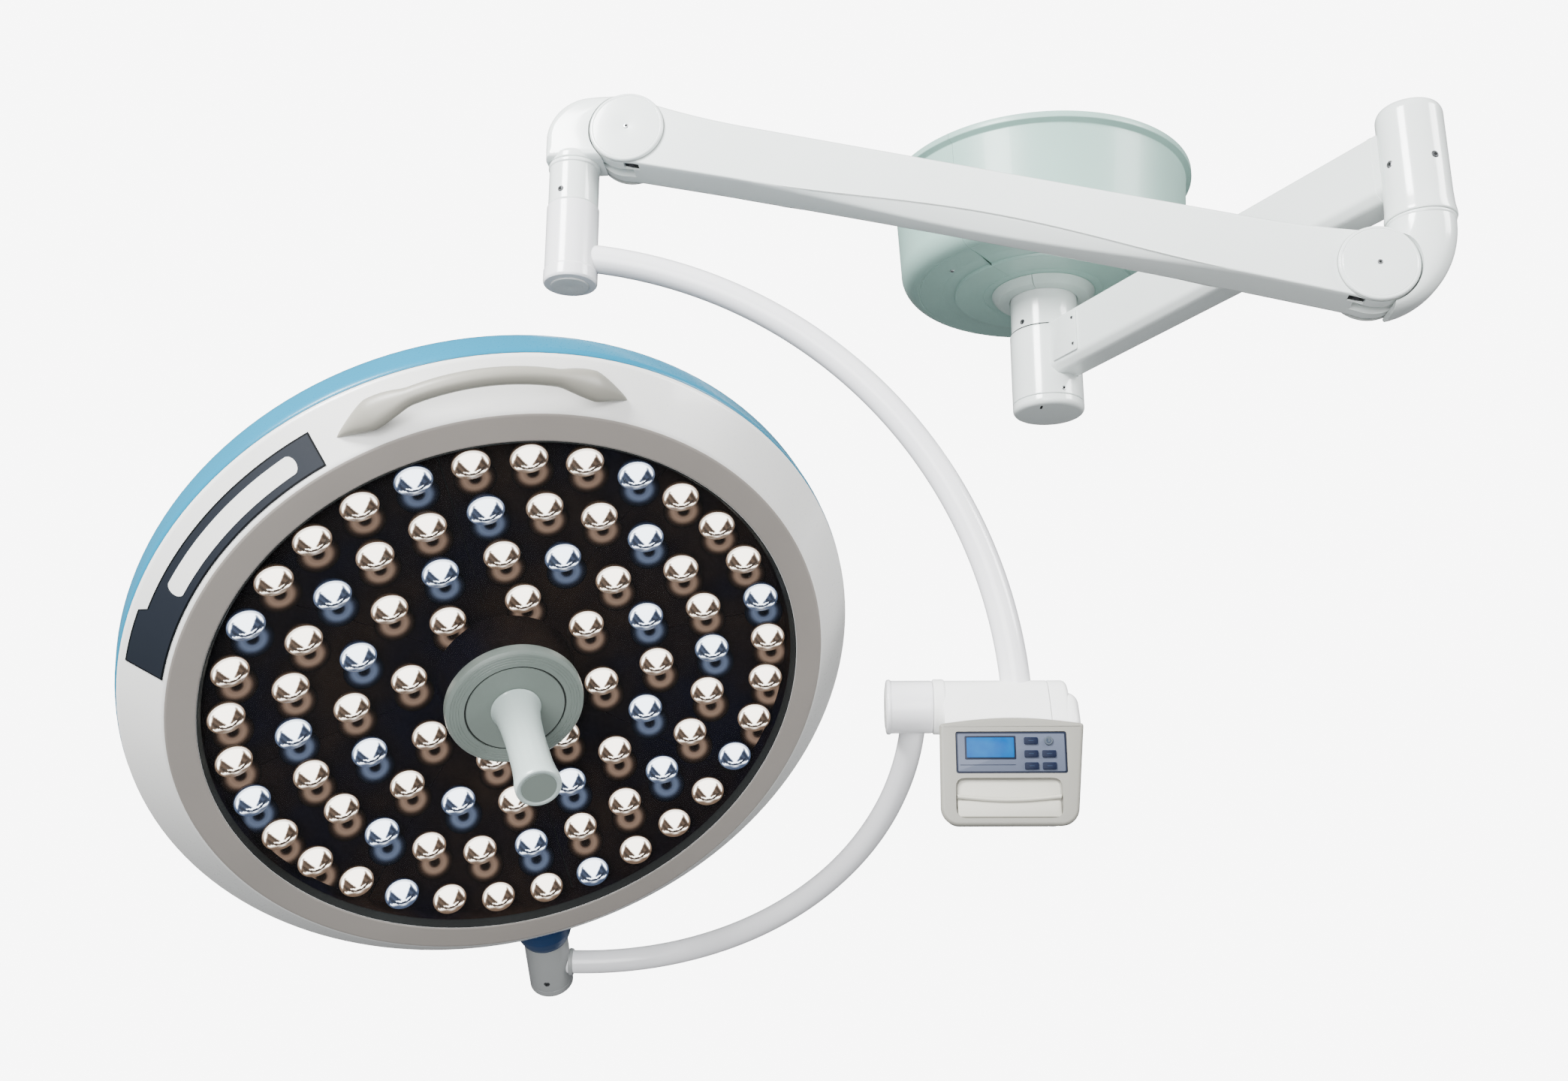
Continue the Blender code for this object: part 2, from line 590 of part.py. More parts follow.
def control_box():
    section = box_section()
    ends = [[(x, y, z) for y, z in section] for x in (BOX_START - 0.002, BOX_END)]
    housing = loft("box_housing", ends, YOKE, WHITE)
    bevel(housing, 0.004, limit=50.0)
    ring = rod("join_box_ring", BARREL_RADIUS + 0.0012, BARREL_END + RUNNING_GAP, BOX_START + 0.001,
               YOKE, local=turn(90.0, "Y"), steps=MEDIUM)
    join(housing, ring)
    tube_x = UPPER_ARC_CENTRE[0] + UPPER_ARC_RADIUS
    entry = at(tube_x, 0.0, UPPER_ARC_CENTRE[1]) @ turn(-2.3, "Y")
    bore = rod("cut_box_tube", UPPER_TUBE_RADIUS + 0.0010, -0.0008, 0.06, YOKE, local=entry)
    shaft = rod("cut_box_shaft", SHAFT_RADIUS + GAP, BARREL_END - 0.01, 0.4480, YOKE,
                local=turn(90.0, "Y"))
    hollow = block("cut_box_hollow", (BOX_START + 0.005, -0.05, BOX_BOTTOM + 0.007),
                   (BOX_END - 0.007, BOX_HALF_DEPTH - 0.010, -0.0235), YOKE)
    cut(housing, bore, shaft, hollow)
    box_frame()
    control_panel()


def frame_outline():
    """Front frame: arched top edge, sides that draw in a little, round lower corners."""
    left, right, low = 0.3890, 0.5300, -0.1225
    top = []
    for step in range(9):
        along = step / 8
        top.append((left + (right - left) * along, -0.0235 + 0.0060 * math.sin(math.pi * along)))
    lower_right = arc((right - 0.0260, low + 0.018), 0.018, -4.0, -90.0, 4)
    lower_left = arc((left + 0.0170, low + 0.018), 0.018, -90.0, -176.0, 4)
    return top + lower_right + lower_left


def box_frame():
    back = -BOX_HALF_DEPTH - GAP
    item = plate("box_frame", frame_outline(), FRAME_FRONT, back, YOKE, BEIGE)
    bevel(item, 0.0015, segments=1, limit=60.0)
    window = block("cut_frame_window", (0.4040, -0.06, -0.0705), (0.5120, 0.0, -0.0355), YOKE)
    grip = block("cut_frame_grip", (0.4030, -0.06, -0.1140), (0.5060, FRAME_FRONT + 0.0050, -0.0760),
                 YOKE, rounding=0.003)
    cut(item, window, grip)


def control_panel():
    panel = block("keypad_panel", (0.4043, -0.0462, -0.0702), (0.5117, -0.0447, -0.0358), YOKE, KEYPAD)
    screen_low, screen_high = (0.4147, -0.0568), (0.4607, -0.0375)
    cut(panel, block("cut_screen", (screen_low[0] - GAP, -0.06, screen_low[1] - GAP),
                     (screen_high[0] + GAP, -0.03, screen_high[1] + GAP), YOKE))
    block("lcd_window", (screen_low[0], -0.0460, screen_low[1]),
          (screen_high[0], -0.0430, screen_high[1]), YOKE, SCREEN)
    block("control_board", (0.4050, -0.0412, -0.0695), (0.5110, -0.0396, -0.0365), YOKE, BOARD)
    places = [(x, z) for z in KEY_ROWS for x in KEY_COLUMNS]
    for number, (x, z) in enumerate(places):
        key(panel, number, x, z)


def key(panel, number, x, z):
    """One key, proud of the foil and free to travel in; the second is the round power key."""
    hole, front, back = 0.0004, -0.0474, -0.0436
    if number == 1:
        across = at(x, 0.0, z) @ ACROSS
        cut(panel, rod("cut_power_key", 0.0044 + hole, 0.03, 0.06, YOKE, local=across, steps=16))
        rod("power_key", 0.0044, -back, -front, YOKE, NAVY, local=across, steps=16)
        return
    name = f"key_{number if number == 0 else number - 1}"
    wide, high = KEY_SIZE[0] / 2, KEY_SIZE[1] / 2
    cut(panel, block(f"cut_{name}", (x - wide - hole, -0.06, z - high - hole),
                     (x + wide + hole, -0.03, z + high + hole), YOKE))
    block(name, (x - wide, front, z - high), (x + wide, back, z + high), YOKE, NAVY)


# ---- lower yoke ---------------------------------------------------------------------------
def lower_yoke():
    along = turn(90.0, "Y")
    offset = -YOKE_CENTRE_X
    start, end = BARREL_START + offset, BARREL_END + offset
    rim = BARREL_RADIUS + 0.0012
    shaft_end = 0.4470 + offset
    barrel = [(0.0, shaft_end), (SHAFT_RADIUS, shaft_end), (SHAFT_RADIUS, end), (BARREL_RADIUS, end),
              (BARREL_RADIUS, start + 0.0050), (rim, start + 0.0040), (rim, start + 0.0010),
              (rim - 0.001, start), (0.0, start)]
    body = turned("lower_barrel", barrel, LOWER, WHITE, local=along)
    cut(body, rod("cut_barrel_tube", LOWER_TUBE_RADIUS + 0.0008, -0.05, -0.0148, LOWER, local=at(0.4097)))
    arc_tube("lower_arc", LOWER_ARC_RADIUS, LOWER_TUBE_RADIUS, LOWER_ARC_CENTRE, LOWER_ARC_START,
             LOWER_ARC_END, LOWER, False)
    top = -(CONE_END - HEAD_SHIFT + RUNNING_GAP)
    foot = -(PIVOT_HOUSING_END - HEAD_SHIFT)
    housing = [(0.0, foot + 0.006), (0.0142, foot + 0.006), (0.0142, top), (PIVOT_HOUSING_RADIUS, top),
               (PIVOT_HOUSING_RADIUS, foot + 0.003), (PIVOT_HOUSING_RADIUS - 0.003, foot), (0.0, foot)]
    body = turned("pivot_housing", housing, LOWER, GREY)
    height = -(LOWER_ARC_CENTRE[1] + LOWER_ARC_RADIUS)
    cut(body, rod("cut_housing_tube", LOWER_TUBE_RADIUS + 0.0009, 0.0182, 0.06, LOWER,
                  local=at(z=height + 0.0003) @ along))


# ---- lamp head ----------------------------------------------------------------------------
def dish(radius):
    """Height of the lens dish at a radius, a shallow bowl facing the operating field."""
    return WINDOW_Z - DISH_DEPTH + radius * radius / (2.0 * DISH_RADIUS)


def head_envelope(name, grow):
    """Solid outer shape of the lamp, used to trim what sits on it."""
    front = [(radius + grow, height + grow) for radius, height in ring_profile()[1:-1]]
    back = [(radius + grow, height) for radius, height in shell_profile()[1:-1]]
    outer = [(0.0, WINDOW_Z + grow)] + front + back + [(0.0, SHELL_BACK - grow)]
    return turned(name, outer, HEAD, steps=FINE)


def ring_profile():
    """White front ring: window lip, flat band, cone out to the waist."""
    band_corner = arc((BAND_RADIUS - 0.004, WINDOW_Z - 0.004), 0.004, 90.0, 36.0, 1)
    lip = [(WINDOW_RADIUS - 0.0005, WINDOW_Z - 0.0080), (WINDOW_RADIUS + 0.0020, WINDOW_Z)]
    waist = [(HEAD_RADIUS - 0.001, WAIST_Z + 0.002), (HEAD_RADIUS, WAIST_Z - 0.001),
             (HEAD_RADIUS, WAIST_Z - 0.004)]
    return lip + band_corner + waist


def shell_profile():
    """Blue rear shell: short side wall, round shoulder, shallow dome."""
    rim = [(SHELL_RADIUS - 0.0025, WAIST_Z - 0.0045), (SHELL_RADIUS, WAIST_Z - 0.0120)]
    shoulder = arc((SHELL_RADIUS - 0.026, -0.014), 0.026, 0.0, -62.0, 4)
    return rim + shoulder + [(0.250, -0.0520), (0.130, -0.0612), (0.0, SHELL_BACK)]


def lens_module():
    """One fan of ten lenses on a common plate, pointing along the lamp's lower pivot."""
    rise = 0.0125
    radii = [0.080 + 0.0673 * step for step in range(4)]
    profile = [(radius, dish(radius) - rise) for radius in radii]
    half = 0.5 * 360.0 / MODULE_COUNT - 0.15
    fan = turned("lens_fan", profile, HEAD, local=turn(-90.0 - half, "Z"), steps=4,
                 angle=2.0 * half, wall=0.0025)
    for radius, angles in LENS_RINGS:
        for angle in angles:
            join(fan, lens(radius, angle, rise))
    bpy.context.view_layer.update()
    evaluated = fan.evaluated_get(bpy.context.evaluated_depsgraph_get())
    mesh = bpy.data.meshes.new_from_object(evaluated)
    mesh.transform(fan.matrix_local)
    return mesh


def lens(radius, angle, rise):
    """A flared cup with a low dome, tipped to aim at the focus."""
    x, y = polar(radius, angle - 90.0)
    tip = math.degrees(math.atan2(radius, DISH_RADIUS))
    place = at(x, y, dish(radius) - rise) @ turn(angle - 90.0, "Z") @ turn(-tip, "Y")
    profile = [(0.0, rise + 0.0020), (LENS_RADIUS, rise - 0.0015), (LENS_RADIUS * 0.62, -0.0010),
               (0.0, -0.0010)]
    return turned(f"join_lens_{radius:.3f}_{angle:.0f}", profile, HEAD, local=place, steps=7)


def lamp_optics():
    mesh = lens_module()
    for number in range(MODULE_COUNT):
        place = turn(MODULE_PHASE + 360.0 * number / MODULE_COUNT, "Z")
        add(f"lens_module_{number + 1}", mesh.copy(), HEAD, LENS, local=place)
    board = [(radius, dish(radius) - 0.0158) for radius in (0.060, 0.135, 0.210, 0.286)]
    turned("led_board", board, HEAD, BOARD, steps=MEDIUM, wall=0.0020)
    front, back, edge = WINDOW_Z - 0.0095, WINDOW_Z - 0.0120, WINDOW_RADIUS + 0.0020
    pane = [(0.0500, front), (edge, front), (edge, back), (0.0500, back)]
    turned("window_pane", pane, HEAD, GLASS, steps=MEDIUM, closed=True)


def lamp_shells():
    turned("front_ring", ring_profile(), HEAD, WHITE, steps=FINE, wall=SHELL_WALL)
    turned("rear_shell", shell_profile(), HEAD, BLUE, steps=FINE, wall=SHELL_WALL)
    driver = [(0.0, -0.040), (0.110, -0.040), (0.110, -0.042), (0.0, -0.042)]
    turned("driver_board", driver, HEAD, BOARD)


def grab_handle():
    """Arched grip on the ring's cone, opposite the lower pivot: a bar that stands off the cone."""
    middle, span, stations = 87.6, 22.1, 12
    sections = []
    for step in range(stations + 1):
        lift = math.sin(math.pi * step / stations)
        rise = lift ** 0.8
        radius, height = 0.3325 + 0.0228 * rise, 0.0400 + 0.0173 * rise
        thick, wide = 0.0035 + 0.0040 * lift, 0.0050 + 0.0045 * lift ** 0.5
        angle = middle + span * (2.0 * step / stations - 1.0)
        sections.append(handle_section(angle, radius, height, thick, wide))
    item = loft("grab_handle", sections, HEAD, WHITE)
    cut(item, head_envelope("cut_handle_seat", GAP))


def handle_section(angle, radius, height, thick, wide):
    """Eight-sided oval across the grip, leaning with the cone."""
    out = Vector((WINDOW_Z - WAIST_Z, HEAD_RADIUS - BAND_RADIUS)).normalized()
    side = Vector((-out.y, out.x))
    points = []
    for step in range(8):
        a, b = polar(1.0, 45.0 * step + 22.5)
        spot = Vector((radius, height)) + out * thick * a + side * wide * b
        x, y = polar(spot.x, angle)
        points.append((x, y, spot.y))
    return points


def centre_handle():
    rear = WINDOW_Z - 0.0092
    flange = [(0.0, WINDOW_Z + 0.0040), (0.0480, WINDOW_Z + 0.0040), (0.0490, WINDOW_Z + 0.0030),
              (0.0500, WINDOW_Z + 0.0040), (0.0600, WINDOW_Z + 0.0035), (FLANGE_RADIUS, WINDOW_Z - 0.0010),
              (FLANGE_RADIUS, rear), (0.0490, rear), (0.0490, WINDOW_Z - 0.0150),
              (0.0, WINDOW_Z - 0.0150)]
    turned("centre_flange", flange, HEAD, GREY, steps=MEDIUM)
    foot = WINDOW_Z + 0.0040 + RUNNING_GAP
    tip = WINDOW_Z + 0.1250
    grip = [(0.0, tip), (0.0195, tip), (0.0215, tip - 0.003), (0.0215, tip - 0.008), (0.0190, tip - 0.022),
            (0.0180, foot + 0.060), (0.0190, foot + 0.025), (0.0225, foot + 0.004), (0.0225, foot),
            (0.0, foot)]
    turned("sterile_handle", grip, HEAD, GREY, steps=24)


def pivot_cone():
    """Blue boss on the lamp's rim, with the shaft that turns in the lower yoke."""
    profile = [(0.0, CONE_START), (0.0330, CONE_START), (0.0318, 0.3620), (0.0262, CONE_END),
               (PIVOT_SHAFT_RADIUS, CONE_END), (PIVOT_SHAFT_RADIUS, PIVOT_HOUSING_END - 0.0085),
               (0.0, PIVOT_HOUSING_END - 0.0085)]
    item = turned("pivot_cone", [(radius, -along) for radius, along in profile], HEAD, BLUE,
                  local=turn(-90.0, "X"))
    cut(item, head_envelope("cut_cone_seat", GAP))


# ---- build --------------------------------------------------------------------------------
ceiling_column()
extension_arm()
rear_knuckle()
spring_arm()
levelling_link()
front_knuckle()
yoke()
control_box()
lower_yoke()
lamp_shells()
lamp_optics()
centre_handle()
grab_handle()
pivot_cone()
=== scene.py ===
"""Looks of the ceiling surgical light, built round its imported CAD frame. Metres, +Z up."""

import json
import math

import bmesh
import bpy
from mathutils import Matrix, Vector


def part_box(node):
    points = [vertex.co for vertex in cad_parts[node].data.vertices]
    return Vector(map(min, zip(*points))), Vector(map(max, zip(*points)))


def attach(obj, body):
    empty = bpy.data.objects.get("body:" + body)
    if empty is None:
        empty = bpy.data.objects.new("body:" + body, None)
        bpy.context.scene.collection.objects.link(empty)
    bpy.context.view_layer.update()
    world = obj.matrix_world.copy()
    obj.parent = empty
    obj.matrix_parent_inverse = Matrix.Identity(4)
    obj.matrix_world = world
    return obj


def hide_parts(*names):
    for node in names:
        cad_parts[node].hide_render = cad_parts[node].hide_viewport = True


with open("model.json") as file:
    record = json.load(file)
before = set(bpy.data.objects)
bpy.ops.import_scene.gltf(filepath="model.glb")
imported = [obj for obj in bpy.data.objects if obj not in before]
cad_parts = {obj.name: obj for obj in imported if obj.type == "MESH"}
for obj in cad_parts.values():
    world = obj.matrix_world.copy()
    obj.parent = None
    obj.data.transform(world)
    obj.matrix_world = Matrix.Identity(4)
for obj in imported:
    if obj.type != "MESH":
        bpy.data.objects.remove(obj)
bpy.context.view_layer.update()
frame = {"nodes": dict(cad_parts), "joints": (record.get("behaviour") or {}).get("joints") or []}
JOINTS = {joint["name"]: joint for joint in frame["joints"]}

# ---- sizes shared with the CAD ------------------------------------------------------------
EXTENSION_Z = -0.266             # middle height of the extension arm
ARM_HALF = 0.027                 # half width of its box section
HUB_RADIUS = 0.05
SWIVEL_RADIUS = 0.0345
PIVOT_RADIUS = 0.0415            # round ends of the spring arm
FORK_HALF = 0.0245
SLOT_HALF = 0.0082
POCKET_AT = 0.015                # adjuster window, from its pivot
LUG_HALF = 0.006
UPPER_ARC = (0.52, 0.0155, 0.0, 82.4)      # bend radius, tube radius, first and last angle
UPPER_ARC_CENTRE = (-0.048, 0.0, -0.015)
LOWER_ARC = (0.37, 0.013, -1.6, -92.9)
LOWER_ARC_CENTRE = (0.04, 0.0, -0.005)
BAND_RADIUS = 0.3166
HEAD_RADIUS = 0.357
SHELL_RADIUS = 0.3587
WINDOW_Z = 0.055
WAIST_Z = 0.019
DISH_DEPTH = 0.0469
DISH_RADIUS = 1.11
LENS_RADIUS = 0.0175
LENS_RINGS = ((0.2667, (-16.875, -5.625, 5.625, 16.875), 0), (0.2096, (-15.0, 0.0, 15.0), 2),
              (0.1527, (-11.25, 11.25), 0), (0.0978, (0.0,), 9))
MODULES = 8
MODULE_STEP = 45.0
SECTOR = 44.7                    # one board sector, with a seam left to the next
MODULE_PHASE = 29.4
BOARD_DROP = 0.0125              # the board lies this far behind the dish of the lenses
HALO_DROP = 0.012
HALO_RADIUS = 0.0165
HALO_SHIFT = (0.0035, -0.027)    # from a lens to its reflection on the board
HALO_RANGE = (0.062, 0.2835)
ARM_YAW = 62.0                   # degrees from +X to the extension arm at rest, clockwise
REACH_YAW = 175.0                # degrees from +X to the spring arm's reach at rest
# sides of a turned piece
FINE = 160
SMOOTH = 96
ROUND = 64


# ---- frames of the bodies, from the record's joints ---------------------------------------
def axes(origin, x, z):
    """A frame with its x axis along x and its z axis as near z as that allows."""
    x = Vector(x).normalized()
    y = Vector(z).cross(x).normalized()
    z = x.cross(y)
    return Matrix.Translation(origin) @ Matrix((x, y, z)).transposed().to_4x4()


def place(name):
    return Vector(JOINTS[name]["pos_m"])


def direction(name):
    return Vector(JOINTS[name]["axis"])


UP = Vector((0.0, 0.0, 1.0))
SWIVEL = place("spring_arm_swivel")
REAR_PIVOT = place("spring_arm_pitch")
FRONT_PIVOT = place("front_knuckle_level")
LAMP_AXIS = place("yoke_swivel")
CENTRE = place("lower_yoke_hinge")
HEAD_AT = place("lamp_tilt")
REACH = Vector((REAR_PIVOT.x - SWIVEL.x, REAR_PIVOT.y - SWIVEL.y, 0.0))

CEILING = Matrix.Identity(4)
EXTENSION = axes((0.0, 0.0, 0.0), (SWIVEL.x, SWIVEL.y, 0.0), UP)
REAR = axes((SWIVEL.x, SWIVEL.y, REAR_PIVOT.z), REACH, UP)
SPRING = axes(REAR_PIVOT, FRONT_PIVOT - REAR_PIVOT, UP)
FRONT = axes((LAMP_AXIS.x, LAMP_AXIS.y, FRONT_PIVOT.z), REACH, UP)
YOKE = axes((LAMP_AXIS.x, LAMP_AXIS.y, CENTRE.z), direction("lower_yoke_hinge"), UP)
LOWER = axes(CENTRE, direction("lower_yoke_hinge"), -direction("lamp_tilt"))
FACE = direction("sterile_handle_turn")
HEAD = axes(HEAD_AT, FACE.cross(direction("lamp_tilt")), FACE)
EXTENSION_LENGTH = Vector((SWIVEL.x, SWIVEL.y)).length
REAR_OFFSET = REACH.length
SPRING_LENGTH = (FRONT_PIVOT - REAR_PIVOT).length
FRONT_OFFSET = (Vector((LAMP_AXIS.x, LAMP_AXIS.y)) - Vector((FRONT_PIVOT.x, FRONT_PIVOT.y))).length
CENTRE_X = (YOKE.inverted() @ CENTRE).x


# ---- materials ----------------------------------------------------------------------------
def nodes_of(name):
    material = bpy.data.materials.new(name)
    material.use_nodes = True
    tree = material.node_tree
    return material, tree, tree.nodes["Principled BSDF"]


def add_node(tree, kind, values=(), **settings):
    node = tree.nodes.new(kind)
    for key, value in settings.items():
        setattr(node, key, value)
    for index, value in dict(values).items():
        node.inputs[index].default_value = value
    return node


def join(tree, source, output, node, socket):
    tree.links.new(source.outputs[output], node.inputs[socket])


def put(node, values):
    for socket, value in values.items():
        node.inputs[socket].default_value = value


def tone(colour, factor):
    return (*(min(1.0, channel * factor) for channel in colour), 1.0)


def noise(tree, scale, detail=3.0, stretch=None):
    where = add_node(tree, "ShaderNodeTexCoord")
    source = where.outputs["Object"]
    if stretch:
        mapping = add_node(tree, "ShaderNodeMapping", {"Scale": stretch})
        tree.links.new(source, mapping.inputs["Vector"])
        source = mapping.outputs["Vector"]
    node = add_node(tree, "ShaderNodeTexNoise", {"Scale": scale, "Detail": detail})
    tree.links.new(source, node.inputs["Vector"])
    return node


def ramp(tree, source, stops):
    node = add_node(tree, "ShaderNodeValToRGB")
    band = node.color_ramp
    while len(band.elements) < len(stops):
        band.elements.new(0.5)
    for element, (position, colour) in zip(band.elements, stops):
        element.position = position
        element.color = colour
    tree.links.new(source, node.inputs["Fac"])
    return node


def bump(tree, shader, height, strength, distance):
    node = add_node(tree, "ShaderNodeBump", {"Strength": strength, "Distance": distance})
    tree.links.new(height, node.inputs["Height"])
    join(tree, node, "Normal", shader, "Normal")


def finish(name, colour, roughness, metallic=0.0, spread=0.05, grain=700.0, depth=0.00004, coat=0.0,
           stretch=None, gloss=0.5):
    """A finish whose tone and roughness drift slowly over a fine surface grain."""
    material, tree, shader = nodes_of(name)
    drift = noise(tree, 7.0, 4.0)
    tones = ramp(tree, drift.outputs["Fac"], ((0.3, tone(colour, 1.0 - spread)),
                                              (0.7, tone(colour, 1.0 + spread))))
    join(tree, tones, "Color", shader, "Base Color")
    low, high = roughness * 0.85, roughness * 1.2
    fine = noise(tree, grain, 2.0, stretch)
    rough = ramp(tree, fine.outputs["Fac"], ((0.25, (low, low, low, 1.0)),
                                             (0.75, (high, high, high, 1.0))))
    join(tree, rough, "Color", shader, "Roughness")
    put(shader, {"Metallic": metallic, "Specular IOR Level": gloss, "Coat Weight": coat,
                 "Coat Roughness": 0.08})
    bump(tree, shader, fine.outputs["Fac"], 0.35, depth)
    return material


ENAMEL = finish("gloss_enamel", (0.79, 0.84, 0.82), 0.19, spread=0.025, grain=420.0, depth=0.00001,
                coat=0.5)
PEARL = finish("pearl_enamel", (0.84, 0.84, 0.86), 0.22, spread=0.03, grain=420.0, depth=0.00001,
               coat=0.4)
RING = finish("ring_enamel", (0.76, 0.76, 0.74), 0.3, spread=0.03, grain=420.0, depth=0.00001, coat=0.25)
SAGE = finish("sage_moulding", (0.32, 0.5, 0.445), 0.38, spread=0.05, grain=900.0, coat=0.1)
COLLAR = finish("collar_enamel", (0.55, 0.66, 0.62), 0.32, spread=0.04, grain=900.0, coat=0.15)
BAND = finish("warm_grey_band", (0.275, 0.25, 0.228), 0.42, spread=0.05, grain=1200.0)
GRIP = finish("grip_grey", (0.275, 0.265, 0.228), 0.4, spread=0.05, grain=1100.0)
BEIGE = finish("warm_moulding", (0.235, 0.23, 0.203), 0.42, spread=0.04, grain=1500.0, depth=0.00005)
INSIDE = finish("pale_moulding", (0.46, 0.45, 0.39), 0.34, spread=0.04, grain=1500.0, depth=0.00005)
CAP = finish("box_enamel", (0.88, 0.885, 0.87), 0.34, spread=0.03, grain=1200.0)
BLUE = finish("blue_shell", (0.003, 0.165, 0.285), 0.3, spread=0.06, grain=500.0, coat=0.1, gloss=0.25)
DEEP = finish("deep_blue_boss", (0.0, 0.026, 0.095), 0.34, spread=0.08, grain=600.0, coat=0.05,
              gloss=0.2)
GREY = finish("handle_grey", (0.17, 0.205, 0.185), 0.42, spread=0.04, grain=1300.0)
PALE = finish("handle_pale", (0.4, 0.48, 0.46), 0.3, spread=0.04, grain=1300.0, coat=0.2)
HOUSING = finish("pivot_grey", (0.29, 0.3, 0.3), 0.38, spread=0.05, grain=900.0)
STEEL = finish("turned_steel", (0.56, 0.57, 0.58), 0.3, metallic=1.0, spread=0.08, grain=900.0,
               stretch=(1.0, 1.0, 12.0))
DARK = finish("black_oxide", (0.035, 0.037, 0.04), 0.38, metallic=0.6, spread=0.15, grain=1500.0)
# Near-black painted shade, laid as thin pieces in gaps, slots, sockets, grooves and rims where shadow
# falls
GAP_SHADOW = finish("shadow_gap", (0.018, 0.02, 0.02), 0.7, spread=0.2, grain=1200.0, gloss=0.1)
# Soft grey painted shade, for the lines along the belly creases and round the pivot covers
CREASE_SHADOW = finish("soft_shadow", (0.3, 0.32, 0.31), 0.6, spread=0.1, grain=900.0, gloss=0.2)
LABEL = finish("label_grey", (0.01, 0.013, 0.019), 0.5, spread=0.05, grain=1500.0, gloss=0.2)
OUTLINE = finish("label_edge", (0.002, 0.003, 0.004), 0.55, spread=0.1, grain=1500.0, gloss=0.1)
FOIL = finish("keypad_foil", (0.078, 0.092, 0.132), 0.42, spread=0.05, grain=2200.0, gloss=0.25)
BORDER = finish("keypad_border", (0.008, 0.012, 0.026), 0.45, spread=0.08, grain=2200.0, gloss=0.2)
KEY = finish("navy_key", (0.0015, 0.005, 0.02), 0.45, spread=0.12, grain=2600.0, gloss=0.15)
POWER = finish("power_grey", (0.05, 0.062, 0.08), 0.42, spread=0.1, grain=2600.0, gloss=0.2)
MARK = finish("key_mark", (0.012, 0.024, 0.052), 0.5, spread=0.05, grain=2600.0, gloss=0.15)


def screen_material():
    """Backlit blue screen: a soft glow across it and the faint rows of its segments."""
    material, tree, shader = nodes_of("backlit_screen")
    where = add_node(tree, "ShaderNodeTexCoord")
    wave = add_node(tree, "ShaderNodeTexWave", {"Scale": 420.0, "Distortion": 0.0}, bands_direction="Z")
    join(tree, where, "Object", wave, "Vector")
    drift = noise(tree, 60.0, 2.0)
    mix = add_node(tree, "ShaderNodeMath", {1: 0.12}, operation="MULTIPLY")
    join(tree, wave, "Fac", mix, 0)
    total = add_node(tree, "ShaderNodeMath", operation="ADD")
    join(tree, mix, 0, total, 0)
    join(tree, drift, "Fac", total, 1)
    tones = ramp(tree, total.outputs[0], ((0.35, (0.0, 0.19, 0.66, 1.0)), (0.75, (0.0, 0.3, 0.8, 1.0))))
    put(shader, {"Base Color": (0.0, 0.015, 0.06, 1.0)})
    join(tree, tones, "Color", shader, "Emission Color")
    put(shader, {"Emission Strength": 0.9, "Roughness": 0.25, "Specular IOR Level": 0.1})
    return material


def board_material():
    """Dark board: brown to navy clouding with a satin surface."""
    material, tree, shader = nodes_of("dark_board")
    drift = noise(tree, 9.0, 3.0)
    tones = ramp(tree, drift.outputs["Fac"], ((0.35, (0.003, 0.003, 0.008, 1.0)),
                                              (0.5, (0.006, 0.004, 0.005, 1.0)),
                                              (0.65, (0.013, 0.008, 0.006, 1.0))))
    join(tree, tones, "Color", shader, "Base Color")
    put(shader, {"Roughness": 0.55, "Specular IOR Level": 0.03})
    return material


def pane_material():
    """Clear cover: almost nothing but its gloss."""
    material, tree, shader = nodes_of("clear_cover")
    drift = noise(tree, 12.0, 2.0)
    tones = ramp(tree, drift.outputs["Fac"], ((0.3, (0.8, 0.86, 0.9, 1.0)),
                                              (0.7, (0.9, 0.93, 0.95, 1.0))))
    join(tree, tones, "Color", shader, "Base Color")
    put(shader, {"Roughness": 0.05, "Alpha": 0.003, "Specular IOR Level": 0.04})
    return material


def lens_material(name, bright, tint, deep, glow, roughness=0.16, gloss=0.3):
    """Moulded lens with painted light. The zone attribute runs from painted shade to a painted highlight
    on the dome, which also glows by emission as it brightens.
    """
    material, tree, shader = nodes_of(name)
    zone = add_node(tree, "ShaderNodeAttribute", attribute_name="zone")
    tones = ramp(tree, zone.outputs["Fac"], ((0.0, deep), (0.35, tint), (0.72, bright), (1.0, bright)))
    grain = noise(tree, 500.0, 2.0)
    soft = add_node(tree, "ShaderNodeMixRGB", {"Fac": 0.1}, blend_type="MULTIPLY")
    join(tree, tones, "Color", soft, "Color1")
    join(tree, grain, "Color", soft, "Color2")
    dim = add_node(tree, "ShaderNodeMixRGB", {"Fac": 1.0, "Color2": (0.3, 0.3, 0.3, 1.0)},
                   blend_type="MULTIPLY")
    join(tree, soft, "Color", dim, "Color1")
    join(tree, dim, "Color", shader, "Base Color")
    join(tree, tones, "Color", shader, "Emission Color")
    steep = add_node(tree, "ShaderNodeMath", {1: 2.2}, operation="POWER")
    join(tree, zone, "Fac", steep, 0)
    power = add_node(tree, "ShaderNodeMath", {1: glow}, operation="MULTIPLY")
    join(tree, steep, 0, power, 0)
    join(tree, power, 0, shader, "Emission Strength")
    put(shader, {"Roughness": roughness, "Specular IOR Level": gloss})
    return material


